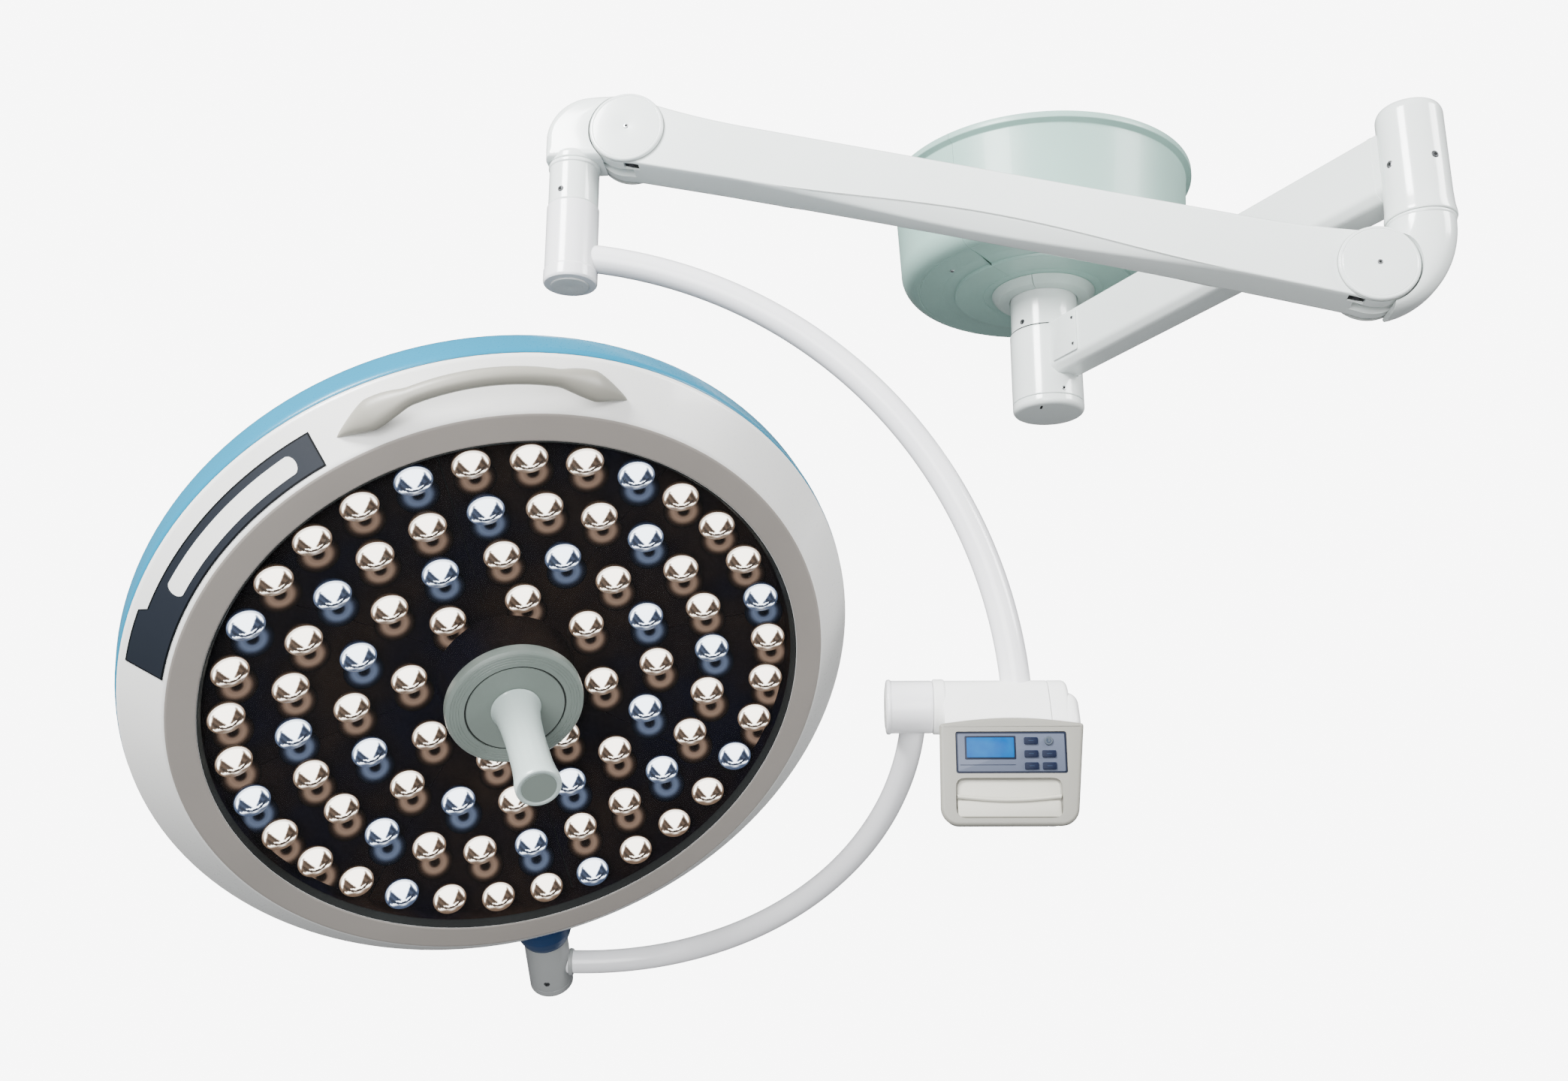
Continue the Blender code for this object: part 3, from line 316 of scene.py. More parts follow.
SCREEN = screen_material()
BOARD = board_material()
PANE = pane_material()
WARM_LENS = lens_material("warm_lens", (1.0, 0.93, 0.82, 1.0), (0.36, 0.24, 0.165, 1.0),
                          (0.022, 0.014, 0.01, 1.0), 5.0)
COOL_LENS = lens_material("cool_lens", (0.82, 0.9, 1.0, 1.0), (0.15, 0.2, 0.33, 1.0),
                          (0.01, 0.016, 0.05, 1.0), 5.0)
# Halo materials: the painted reflection of the lenses on the board, glowing by emission
WARM_GLOW = lens_material("warm_glow", (0.3, 0.2, 0.145, 1.0), (0.1, 0.062, 0.045, 1.0),
                          (0.004, 0.003, 0.004, 1.0), 0.8, roughness=0.55, gloss=0.03)
COOL_GLOW = lens_material("cool_glow", (0.14, 0.18, 0.28, 1.0), (0.045, 0.058, 0.1, 1.0),
                          (0.003, 0.003, 0.007, 1.0), 0.8, roughness=0.55, gloss=0.03)


# ---- mesh helpers -------------------------------------------------------------------------
def polar(radius, degrees):
    return radius * math.cos(math.radians(degrees)), radius * math.sin(math.radians(degrees))


def arc(centre, radius, start, end, steps):
    span = (end - start) / steps
    turns = [polar(radius, start + span * step) for step in range(steps + 1)]
    return [(centre[0] + x, centre[1] + y) for x, y in turns]


def at(x=0.0, y=0.0, z=0.0):
    return Matrix.Translation((x, y, z))


def turn(degrees, axis):
    return Matrix.Rotation(math.radians(degrees), 4, axis)


ALONG = turn(90.0, "Y")          # turns a Z shape to lie along X


def rounded(points, radius, steps=4, every=False):
    """The outline with its corners rounded, by less than half of the shorter side next to each."""
    count = len(points)
    result = []
    for i, corner in enumerate(points):
        here = Vector(corner)
        before, after = Vector(points[i - 1]) - here, Vector(points[(i + 1) % count]) - here
        reach = min(radius, before.length / 2.2, after.length / 2.2)
        if not every and (reach < 0.00005 or before.angle(after) > math.radians(172.0)):
            result.append(corner)
            continue
        start, end = here + before.normalized() * reach, here + after.normalized() * reach
        for step in range(steps + 1):
            t = step / steps
            point = start * (1.0 - t) ** 2 + here * 2.0 * t * (1.0 - t) + end * t ** 2
            result.append(tuple(point))
    return result


def lathe(profile, steps=ROUND, span=360.0, start=0.0):
    """A closed (radius, z) outline turned about Z."""
    whole = span >= 360.0
    columns = steps if whole else steps + 1
    verts = []
    for column in range(columns):
        angle = start + span * column / steps
        verts += [(*polar(radius, angle), z) for radius, z in profile]
    count = len(profile)
    faces = []
    for column in range(steps):
        a, b = column * count, ((column + 1) % columns) * count
        faces += [(a + i, b + i, b + (i + 1) % count, a + (i + 1) % count) for i in range(count)]
    if not whole:
        faces.append(tuple(range(count)))
        faces.append(tuple(reversed(range(steps * count, (steps + 1) * count))))
    return verts, faces


def skin(first, count, rows=1):
    """Faces between rings of count points each, the first ring starting at a vertex."""
    faces = []
    for a in range(first, first + rows * count, count):
        faces += [(a + i, a + (i + 1) % count, a + count + (i + 1) % count,
                   a + count + i) for i in range(count)]
    return faces


def loft(sections):
    """Rings of points joined to a closed shape with flat ends."""
    count, rows = len(sections[0]), len(sections) - 1
    ends = [tuple(reversed(range(count))), tuple(range(rows * count, (rows + 1) * count))]
    return [point for section in sections for point in section], skin(0, count, rows) + ends


def prism(outline, low, high, soft=0.0, steps=4):
    """An (x, z) outline given thickness along y, its face edges rounded by the soft radius."""
    levels = []
    for step in range(steps + 1):
        around = math.pi / 2 * step / steps
        levels.append((soft * (1.0 - math.sin(around)), low + soft * (1.0 - math.cos(around))))
    levels += [(inset, high - (level - low)) for inset, level in reversed(levels)]
    if not soft:
        levels = [(0.0, low), (0.0, high)]
    return loft([[(x, y, z) for x, z in inset_outline(outline, inset)] for inset, y in levels])


def inset_outline(outline, inset):
    """Each corner moved inwards along the mean of its two sides' normals."""
    if not inset:
        return outline
    area = sum(a[0] * b[1] - b[0] * a[1] for a, b in zip(outline, outline[1:] + outline[:1]))
    side = 1.0 if area > 0.0 else -1.0
    result = []
    for i, corner in enumerate(outline):
        before = (Vector(corner) - Vector(outline[i - 1])).normalized()
        after = (Vector(outline[(i + 1) % len(outline)]) - Vector(corner)).normalized()
        normal = Vector((-(before.y + after.y), before.x + after.x)).normalized() * side
        result.append(tuple(Vector(corner) + normal * inset))
    return result


def box(low, high, soft=0.0006):
    outline = rounded([(low[0], low[2]), (high[0], low[2]), (high[0], high[2]), (low[0], high[2])],
                      soft * 1.6)
    return prism(outline, low[1], high[1], soft * 0.5, 2)


def bent_tube(radius, tube, start, end, steps=110, sides=28):
    """A tube round an arc in the XZ plane, centred on the frame's origin."""
    sections = []
    for step in range(steps + 1):
        angle = start + (end - start) * step / steps
        x, z = polar(1.0, angle)
        ring = []
        for side in range(sides):
            a, b = polar(tube, 360.0 * side / sides)
            ring.append(((radius + a) * x, b, (radius + a) * z))
        sections.append(ring)
    return loft(sections)


def merge(*shapes):
    """Several (vertices, faces) shapes as one."""
    verts, faces = [], []
    for points, polygons in shapes:
        base = len(verts)
        verts += points
        faces += [tuple(base + i for i in polygon) for polygon in polygons]
    return verts, faces


def add_object(name, data):
    item = bpy.data.objects.new(name, data)
    bpy.context.scene.collection.objects.link(item)
    return item


def add_mesh(name, verts, faces):
    mesh = bpy.data.meshes.new(name)
    mesh.from_pydata(verts, [], faces)
    return mesh


def ridden(name, mesh, material, body, replaces):
    """The mesh as a piece that rides a body and stands for the CAD nodes it replaces."""
    mesh.materials.append(material)
    item = add_object(name, mesh)
    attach(item, body)
    if replaces:
        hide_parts(*replaces)
    return item


def piece(name, shape, home, material, body, replaces=(), local=None, angle=32.0):
    """Adds one shape as a smooth mesh that rides a body."""
    matrix = home @ local if local else home
    mesh = add_mesh(name, [tuple(matrix @ Vector(point)) for point in shape[0]], shape[1])
    bm = bmesh.new()
    bm.from_mesh(mesh)
    bmesh.ops.remove_doubles(bm, verts=bm.verts, dist=0.000005)
    bmesh.ops.dissolve_degenerate(bm, edges=bm.edges, dist=0.000001)
    bmesh.ops.recalc_face_normals(bm, faces=bm.faces)
    bm.to_mesh(mesh)
    bm.free()
    mesh.shade_smooth()
    mesh.set_sharp_from_angle(angle=math.radians(angle))
    return ridden(name, mesh, material, body, replaces)


def turned(name, profile, home, material, body, replaces=(), local=None, soft=0.001,
           steps=ROUND, span=360.0, start=0.0):
    """A turned piece with every corner of its profile softened."""
    shape = lathe(rounded(profile, soft), steps, span, start)
    return piece(name, shape, home, material, body, replaces, local)


def screw(name, home, body, local, radius=0.0035, dark=False):
    """Button head with a hexagon socket; the local matrix puts +Z out of the surface."""
    head = [(0.0, -0.002), (radius, -0.002), (radius, 0.0002), (radius * 0.8, 0.001),
            (radius * 0.52, 0.0011), (radius * 0.5, 0.0002), (0.0, 0.0002)]
    piece(name, lathe(head, 24), home, DARK if dark else STEEL, body, local=local)
    # The hexagon socket is a near-black disc in the head's recess: painted shade for its hole
    socket = lathe([(0.0, 0.0002), (radius * 0.5, 0.0002), (radius * 0.5, 0.0005), (0.0, 0.0005)], 6)
    piece(name + "_socket", socket, home, GAP_SHADOW, body, local=local)


def on_wall(radius, azimuth, z):
    """Matrix of a spot on a Z cylinder's wall, with +Z pointing out of it."""
    return at(z=z) @ turn(azimuth, "Z") @ at(x=radius) @ turn(90.0, "Y")


# ---- ceiling column -----------------------------------------------------------------------
def canopy():
    wall = [(0.2055, -0.0006), (0.219, -0.0006), (0.219, -0.0095), (0.2105, -0.013)]
    corner = arc((0.1735, -0.1295), 0.03, 2.0, -72.0, 10)
    lines = [(0.179, -0.1588), (0.178, -0.1582), (0.177, -0.159)]
    floor = [(0.13, -0.1612), (0.128, -0.1618), (0.1268, -0.1668), (0.125, -0.1674), (0.086, -0.1676),
             (0.0855, -0.167), (0.085, -0.1676), (0.0525, -0.1676)]
    inner = [(0.0525, -0.164), (0.1235, -0.164), (0.175, -0.1555), (0.1985, -0.14), (0.2005, -0.129),
             (0.206, -0.013)]
    profile = rounded(wall + corner + lines + floor + inner, 0.0012, 3)
    for name, start in (("canopy_left", 47.05), ("canopy_right", 227.05)):
        piece(name + "_shell", lathe(profile, 112, 179.9, start), CEILING, SAGE, "ceiling_mount",
              (name,))
    for number, azimuth in enumerate((204.4, 324.4, 84.4)):
        x, y = polar(0.1305 + 0.021, azimuth)
        screw(f"canopy_screw_{number}", CEILING, "ceiling_mount", at(x, y, -0.1606) @ turn(180.0, "X"),
              0.0032)


def column():
    tube = [(0.04, -0.0103), (0.085, -0.0103), (0.085, -0.0203), (0.0525, -0.0203), (0.0475, -0.026),
            (0.0475, -0.2323), (0.0465, -0.233), (0.04, -0.233)]
    turned("drop_tube_body", tube, CEILING, ENAMEL, "ceiling_mount", replaces=("drop_tube",), steps=SMOOTH)
    collar = [(0.0482, -0.169), (0.069, -0.1678), (0.0735, -0.1678), (0.0735, -0.1692), (0.07, -0.1745),
              (0.065, -0.1792), (0.0482, -0.18)]
    for number, start in enumerate((-111.6, 68.4)):
        turned(f"column_collar_half_{number + 1}", collar, CEILING, COLLAR, "ceiling_mount",
               replaces=("column_collar",), span=179.4, start=start, soft=0.0015)
    for azimuth, number in ((-141.3, 1), (-21.3, 2), (98.7, 3)):
        screw(f"column_set_screw_{number}", CEILING, "ceiling_mount", on_wall(0.047, azimuth, -0.2235),
              0.004, True)


# ---- extension arm ------------------------------------------------------------------------
def hub():
    body = "extension_arm"
    housing = [(0.045, -0.2336), (0.049, -0.2336), (HUB_RADIUS, -0.2346), (HUB_RADIUS, -0.3368),
               (0.0494, -0.3375), (0.045, -0.3375)]
    turned("hub_housing_body", housing, EXTENSION, ENAMEL, body, replaces=("hub_housing",), steps=SMOOTH,
           soft=0.0008)
    # Near-black ring in the split between the drop tube and the hub: painted shade in the gap
    gap = [(0.044, -0.234), (0.0484, -0.234), (0.0484, -0.2317), (0.044, -0.2317)]
    turned("hub_gap", gap, EXTENSION, GAP_SHADOW, body, soft=0.0001, steps=SMOOTH)
    cap = [(0.0, -0.3382), (0.0492, -0.3382), (HUB_RADIUS, -0.339)]
    cap += arc((0.0425, -0.345), 0.0075, 0.0, -90.0, 8) + [(0.0, -0.3525)]
    piece("hub_end_cap_body", lathe(cap, SMOOTH), EXTENSION, ENAMEL, body, replaces=("hub_end_cap",))
    # Near-black strip on the end cap: painted shade for a slot
    slot = box((-0.006, -0.0016, -0.3527), (0.006, 0.0016, -0.352), 0.0002)
    x, y = polar(0.034, -117.5 + ARM_YAW)
    piece("hub_cap_slot", slot, EXTENSION, GAP_SHADOW, body, local=at(x, y) @ turn(-30.0, "Z"))
    for name, azimuth in (("hub_cap_screw", -73.7), ("hub_cap_screw_rear", 106.3)):
        screw(name, EXTENSION, body, on_wall(0.0496, azimuth + ARM_YAW, -0.33), 0.0036)


def arm_outline():
    half, flat, bottom, low, top = ARM_HALF, ARM_HALF - 0.01, -0.042, -0.032, 0.034
    return rounded([(-flat, bottom), (flat, bottom), (half, low), (half, top), (-half, top),
                    (-half, low)], 0.0045, 5)


def extension_arm():
    body = "extension_arm"
    outline = arm_outline()
    ends = [[(x, y, z + EXTENSION_Z) for y, z in outline] for x in (0.032, 0.3, EXTENSION_LENGTH - 0.02)]
    piece("extension_arm_tube", loft(ends), EXTENSION, ENAMEL, body, replaces=("extension_arm",))
    plate = box((0.0515, -0.0296, EXTENSION_Z - 0.029), (0.103, -0.0272, EXTENSION_Z + 0.029), 0.0012)
    piece("hub_cover", plate, EXTENSION, ENAMEL, body, replaces=("hub_cover_plate",))
    for number, z in enumerate((-0.019, 0.019)):
        spot = at(0.096, -0.0294, EXTENSION_Z + z) @ turn(90.0, "X")
        screw(f"hub_cover_screw_{number + 1}", EXTENSION, body, spot, 0.0026)
    for end, x in (("hub", 0.0475), ("swivel", EXTENSION_LENGTH - 0.033)):
        weld = [[(x + shift, y * 1.012, (z + 0.004) * 1.012 - 0.004 + EXTENSION_Z) for y, z in outline]
                for shift in (-0.002, 0.002)]
        piece(f"arm_{end}_joint_line", loft(weld), EXTENSION, ENAMEL, body)


def swivel():
    body = "extension_arm"
    local = at(EXTENSION_LENGTH)
    outside = [(0.0, -0.208), (0.025, -0.208), (0.0315, -0.2105), (SWIVEL_RADIUS, -0.217),
               (0.0346, -0.312), (0.0352, -0.327), (0.0364, -0.335), (0.0366, -0.339), (0.036, -0.3404)]
    inside = [(0.0295, -0.3404), (0.029, -0.338), (0.029, -0.214), (0.0, -0.214)]
    turned("swivel_housing_body", outside + inside, EXTENSION, ENAMEL, body,
           replaces=("swivel_housing",), local=local, soft=0.004, steps=SMOOTH)
    for name, azimuth, z, dark in (("set_screw", -76.9, -0.2794, True),
                                   ("cap_screw", -158.2, -0.28, False),
                                   ("set_screw_rear", 75.0, -0.2794, True)):
        spot = local @ on_wall(0.0342, azimuth + ARM_YAW, z)
        screw(f"swivel_{name}", EXTENSION, body, spot, 0.0042, dark)


# ---- knuckles -----------------------------------------------------------------------------
def lug(pivot_x, root_x, low, high):
    """The round eye between the fork's cheeks, with its web."""
    start, end = (90.0, -90.0) if root_x < pivot_x else (90.0, 270.0)
    outline = arc((pivot_x, 0.0), 0.03, start, end, 24) + [(root_x, low), (root_x, high)]
    return prism(outline, -LUG_HALF, LUG_HALF, 0.0008, 2)


def relief(pivot_x):
    """The round clearance an elbow leaves for the fork of the arm."""
    return prism(arc((pivot_x, 0.0), PIVOT_RADIUS + 0.002, 0.0, 355.0, 71), -0.04, 0.04)


def rear_knuckle():
    """A round neck that bends down into the deep elbow behind the arm's end."""
    sections = []
    for step in range(25):
        t = step / 24
        x, z = polar(1.0, 180.0 + 90.0 * t)
        outer = Vector((REAR_OFFSET + (REAR_OFFSET + SWIVEL_RADIUS) * x, 0.056 + 0.106 * z))
        inner = Vector((SWIVEL_RADIUS + (REAR_OFFSET - SWIVEL_RADIUS) * t * t, 0.056 - 0.056 * t))
        middle, reach = (outer + inner) / 2, (outer - inner) / 2
        deep = SWIVEL_RADIUS - 0.0085 * t
        square = 1.0 - 0.55 * t
        ring = []
        for side in range(64):
            a, b = polar(1.0, 360.0 * side / 64)
            a, b = math.copysign(abs(a) ** square, a), math.copysign(abs(b) ** square, b)
            ring.append((middle.x + reach.x * a, deep * b, middle.y + reach.y * a))
        sections.append(ring)
    swing = box((REAR_OFFSET - 0.013, -0.04, -0.07), (REAR_OFFSET + 0.02, 0.04, 0.0), 0.0)
    elbow = carve(loft(sections), relief(REAR_OFFSET), swing)
    stem = [(0.0, 0.165), (0.0145, 0.165), (0.0145, 0.0572), (0.035, 0.0572), (0.0354, 0.0555),
            (SWIVEL_RADIUS, 0.0535), (0.033, 0.053), (0.0, 0.053)]
    neck = lathe(rounded(stem, 0.0006), SMOOTH)
    shape = merge(elbow, neck, lug(REAR_OFFSET, 0.005, -0.012, 0.038))
    piece("rear_elbow", shape, REAR, ENAMEL, "rear_knuckle", replaces=("rear_knuckle",), angle=42.0)


def front_knuckle():
    pivot_x = -FRONT_OFFSET
    crown = [(pivot_x + 0.01, 0.0435), (-0.03, 0.044)] + arc((-0.0215, -0.007), 0.0505, 84.0, 4.0, 18)
    outline = [(pivot_x + 0.01, -0.033)] + crown + [(0.029, -0.02), (0.0285, -0.033)]
    elbow = carve(prism(outline, -0.0262, 0.0262, 0.0095, 5), relief(pivot_x))
    round_foot = lathe(rounded([(0.0, -0.018), (0.02, -0.019), (0.0262, -0.0215), (0.029, -0.0255),
                                (0.029, -0.0326), (0.0, -0.0326)], 0.0012), SMOOTH)
    shape = merge(elbow, round_foot, lug(pivot_x, -0.01, -0.02, 0.03))
    piece("front_elbow", shape, FRONT, ENAMEL, "front_knuckle", replaces=("front_knuckle",), angle=42.0)
    split = LAMP_AXIS.z + 0.0003 - FRONT_PIVOT.z
    tube = [(0.0186, -0.0332), (0.0284, -0.0332), (0.0291, -0.034), (0.0291, -0.0372), (0.0279, -0.0384),
            (0.0278, split + 0.0012), (0.027, split), (0.0186, split)]
    turned("end_tube_body", tube, FRONT, ENAMEL, "front_knuckle", replaces=("end_tube",), soft=0.0006)
    for name, azimuth in (("end_tube_screw", -113.1), ("end_tube_screw_rear", 66.9)):
        spot = on_wall(0.0274, azimuth - REACH_YAW, split + 0.012)
        screw(name, FRONT, "front_knuckle", spot, 0.0036, True)


# ---- spring arm ---------------------------------------------------------------------------
def arm_station(x):
    """Half outline of the arm at x, from the keel round to the top."""
    along = min(max((x - 0.12) / 0.56, 0.0), 1.0)
    swell = math.sin(math.pi * along) ** 2
    near_end = max(0.0, 1.0 - min(x, SPRING_LENGTH - x) / 0.13)
    top = 0.03 + 0.0095 * near_end ** 2
    ridge = -0.036 + 0.0135 * swell - 0.003 * near_end
    bottom = -0.037 - 0.0035 * swell - 0.003 * near_end
    keel = 0.02 - 0.009 * swell
    return [(keel, bottom), (FORK_HALF, ridge), (FORK_HALF, top - 0.0035), (0.021, top)]


def arm_outline_at(x):
    """Half outline of the arm with its round ends, at any x from end to end."""
    keel, ridge, side, top = arm_station(min(max(x, 0.0), SPRING_LENGTH))
    reach = min(x, SPRING_LENGTH - x)
    height = math.sqrt(max(PIVOT_RADIUS ** 2 - reach ** 2, 0.0)) if reach < PIVOT_RADIUS else 0.0
    if reach < 0.0:
        return [(keel[0], -height), (ridge[0], -height * 0.965), (side[0], height * 0.93),
                (top[0], height)]
    low, high = max(height, -keel[1]), max(height, top[1])
    return [(keel[0], -low), (ridge[0], ridge[1] - (low + keel[1]) * 0.9), (side[0], high - 0.0035),
            (top[0], high)]


def spring_arm():
    body = "spring_arm"
    end_turns = [math.radians(8.0 + 82.0 * step / 12) for step in range(12)]
    rear = [-PIVOT_RADIUS * math.cos(turned_by) for turned_by in end_turns]
    middle = [SPRING_LENGTH * step / 90 for step in range(91)]
    stations = rear + middle + [SPRING_LENGTH - x for x in reversed(rear)]
    sections = []
    for x in stations:
        half = arm_outline_at(x)
        outline = rounded(half + [(-y, z) for y, z in reversed(half)], 0.003, 3, every=True)
        sections.append([(x, y, z) for y, z in outline])
    cuts = []
    for x, way in ((0.0, 1.0), (SPRING_LENGTH, -1.0)):
        slot = arc((x, 0.0), PIVOT_RADIUS + 0.0015, 0.0, 350.0, 35)
        cuts.append(prism(slot, -SLOT_HALF, SLOT_HALF))
        cuts.append(box((x + way * POCKET_AT - 0.0085, 0.0094, -0.06),
                        (x + way * POCKET_AT + 0.0085, 0.0212, -0.034), 0.0))
    piece("spring_arm_body", carve(loft(sections), *cuts), SPRING, ENAMEL, body,
          replaces=("spring_arm_shell",), angle=24.0)
    cover = [(0.0, 0.0), (PIVOT_RADIUS, 0.0), (PIVOT_RADIUS, 0.0028), (PIVOT_RADIUS - 0.0012, 0.0042),
             (PIVOT_RADIUS - 0.0032, 0.0046), (PIVOT_RADIUS - 0.0038, 0.0041),
             (PIVOT_RADIUS - 0.0044, 0.0045), (0.02, 0.0048), (0.0, 0.0049)]
    for end, x in (("rear", 0.0), ("front", SPRING_LENGTH)):
        for side, local in (("near", turn(-90.0, "X")), ("far", turn(90.0, "X"))):
            spot = at(x) @ local @ at(z=0.0248)
            turned(f"{end}_pivot_cover_{side}", cover, SPRING, ENAMEL, body,
                   replaces=(f"{end}_cover_{side}",), local=spot, soft=0.0006, steps=SMOOTH)
            screw(f"{end}_cover_screw_{side}", SPRING, body, spot @ at(z=0.0046), 0.003)
            # Thin grey ring at the edge of each pivot cover: painted shade in the gap under it
            gap = lathe([(0.038, -0.0004), (PIVOT_RADIUS + 0.0006, -0.0004),
                         (PIVOT_RADIUS + 0.0006, 0.0005), (0.038, 0.0005)], SMOOTH)
            piece(f"{end}_cover_gap_{side}", gap, SPRING, CREASE_SHADOW, body, local=spot)
    for end, x, way in (("rear", 0.0, 1.0), ("front", SPRING_LENGTH, -1.0)):
        adjuster = lathe([(0.0, -0.002), (0.0035, -0.002), (0.0035, 0.002), (0.0, 0.002)], 20)
        local = at(x + way * POCKET_AT, 0.0153, -0.037)
        piece(f"{end}_adjuster_screw", adjuster, SPRING, DARK, body, local=local)
        shade = box((-0.0084, -0.0058, -0.0008), (0.0084, 0.0058, 0.0008), 0.0001)
        piece(f"{end}_adjuster_pocket", shade, SPRING, GAP_SHADOW, body, local=local)
    # A thin grey line along each belly ridge: painted shade that draws the crease
    for side in (-1.0, 1.0):
        line = []
        for step in range(61):
            x = 0.15 + (SPRING_LENGTH - 0.33) * step / 60
            ridge = arm_station(x)[1]
            thin = 0.0009 * math.sin(math.pi * step / 60) ** 0.5 + 0.0001
            line.append([(x, side * ridge[0] + thin * a * 0.5, ridge[1] + thin * b * 0.8)
                         for a, b in (polar(1.0, 60.0 * corner) for corner in range(6))])
        piece("belly_crease_near" if side > 0.0 else "belly_crease_far", loft(line), SPRING, CREASE_SHADOW,
              body)


# ---- yoke ---------------------------------------------------------------------------------
def yoke():
    body = "yoke"
    top, foot = LAMP_AXIS.z - 0.0003 - CENTRE.z, -0.3765 - CENTRE.z
    socket = [(0.0, top - 0.016), (0.0183, top - 0.016), (0.0183, top), (0.0282, top),
              (0.029, top - 0.0008), (0.029, foot + 0.016), (0.0299, foot + 0.015),
              (0.0299, foot + 0.0025), (0.0285, foot), (0.0, foot - 0.0005)]
    turned("yoke_socket_body", socket, YOKE, PEARL, body, replaces=("yoke_socket",), soft=0.0008,
           steps=SMOOTH)
    turned("yoke_socket_cap", [(0.0, foot - 0.0018), (0.0205, foot - 0.0018), (0.0215, foot - 0.0004),
                               (0.0, foot - 0.0004)], YOKE, RING, body)
    piece("upper_arc_tube", bent_tube(*UPPER_ARC), YOKE, PEARL, body, replaces=("upper_arc",),
          local=at(*UPPER_ARC_CENTRE))


def box_outline():
    """Side view (y, z) of the control box."""
    crown = arc((0.0, 0.0), 0.0265, 150.0, 20.0, 14)
    back = [(0.034, -0.022), (0.034, -0.1), (0.022, -0.12)]
    return crown + back + [(-0.032, -0.12), (-0.038, -0.114), (-0.038, -0.018)]


def along_x(outline, levels):
    """A (y, z) outline repeated at (inset, x) levels."""
    return loft([[(x, y, z) for y, z in inset_outline(outline, inset)] for inset, x in levels])


def round_end(end, soft, steps=8):
    """Levels that close a sweep with a rounded edge."""
    turns = [math.radians(90.0 * step / steps) for step in range(steps + 1)]
    return [(soft * (1.0 - math.cos(a)), end - soft + soft * math.sin(a)) for a in turns]


def behind_frame(shape):
    """Trims a piece of the box to the frame's outline, so that nothing shows round its corners."""
    lower = arc((0.506, -0.1045), 0.0135, -2.0, -90.0, 12)
    lower += arc((0.411, -0.1045), 0.0135, -90.0, -178.0, 12)
    outline = [(0.39, 0.04), (0.532, 0.04), (0.529, -0.03)] + lower + [(0.39, -0.03)]
    return carve(shape, prism(outline, -0.05, 0.05), operation="INTERSECT")


def control_box():
    body = "yoke"
    outline = rounded(box_outline(), 0.006, 4)
    start, seam, end = 0.395, 0.5006, 0.5205
    main = along_x(outline, [(0.0012, start), (0.0, start + 0.0012), (0.0, seam - 0.001),
                             (0.0006, seam - 0.0003)])
    piece("box_body", behind_frame(main), YOKE, CAP, body, replaces=("box_housing",))
    cap = along_x(outline, [(0.0006, seam + 0.0003), (0.0, seam + 0.001)] + round_end(end, 0.006))
    piece("box_end_cap", behind_frame(cap), YOKE, CAP, body)
    shoulder = [(-0.024, 0.008), (-0.012, 0.0125), (0.012, 0.0125), (0.024, 0.008)]
    shoulder = rounded(shoulder + box_outline()[15:], 0.006, 4)
    low_end = along_x(shoulder, [(0.001, seam + 0.002), (0.0, seam + 0.003)] + round_end(0.53, 0.011))
    piece("box_end_shoulder", behind_frame(low_end), YOKE, CAP, body)
    ring = [(0.0, 0.3858), (0.0272, 0.3858), (0.0279, 0.3866), (0.0279, 0.396), (0.027, 0.3975),
            (0.0, 0.3975)]
    turned("box_ring", ring, YOKE, CAP, body, local=ALONG, soft=0.0006, steps=SMOOTH)
    box_front(body)
    keypad(body)


def front_outline(grow=0.0):
    left, right, low = 0.389, 0.53, -0.1225
    top = [(left + (right - left) * step / 20,
            -0.0235 + 0.006 * math.sin(math.pi * step / 20)) for step in range(21)]
    lower_right = arc((right - 0.026, low + 0.018), 0.018, -4.0, -90.0, 10)
    lower_left = arc((left + 0.017, low + 0.018), 0.018, -90.0, -176.0, 10)
    return inset_outline(rounded(top + lower_right + lower_left, 0.0045, 4), -grow)


def carve(shape, *cutters, operation="DIFFERENCE"):
    """The shape with each cutter taken away, or only what they share, as (vertices, faces)."""
    target = plain_object(shape)
    for cutter in cutters:
        tool = plain_object(cutter)
        modifier = target.modifiers.new("cut", "BOOLEAN")
        modifier.operation, modifier.solver, modifier.object = operation, "EXACT", tool
        bpy.context.view_layer.update()
        done = bpy.data.meshes.new_from_object(target.evaluated_get(bpy.context.evaluated_depsgraph_get()))
        target.modifiers.clear()
        target.data = done
        bpy.data.objects.remove(tool)
    result = [tuple(v.co) for v in target.data.vertices], [tuple(p.vertices) for p in target.data.polygons]
    bpy.data.objects.remove(target)
    return result


def plain_object(shape):
    mesh = add_mesh("working", [tuple(point) for point in shape[0]], shape[1])
    bm = bmesh.new()
    bm.from_mesh(mesh)
    bmesh.ops.recalc_face_normals(bm, faces=bm.faces)
    bm.to_mesh(mesh)
    bm.free()
    return add_object("working", mesh)


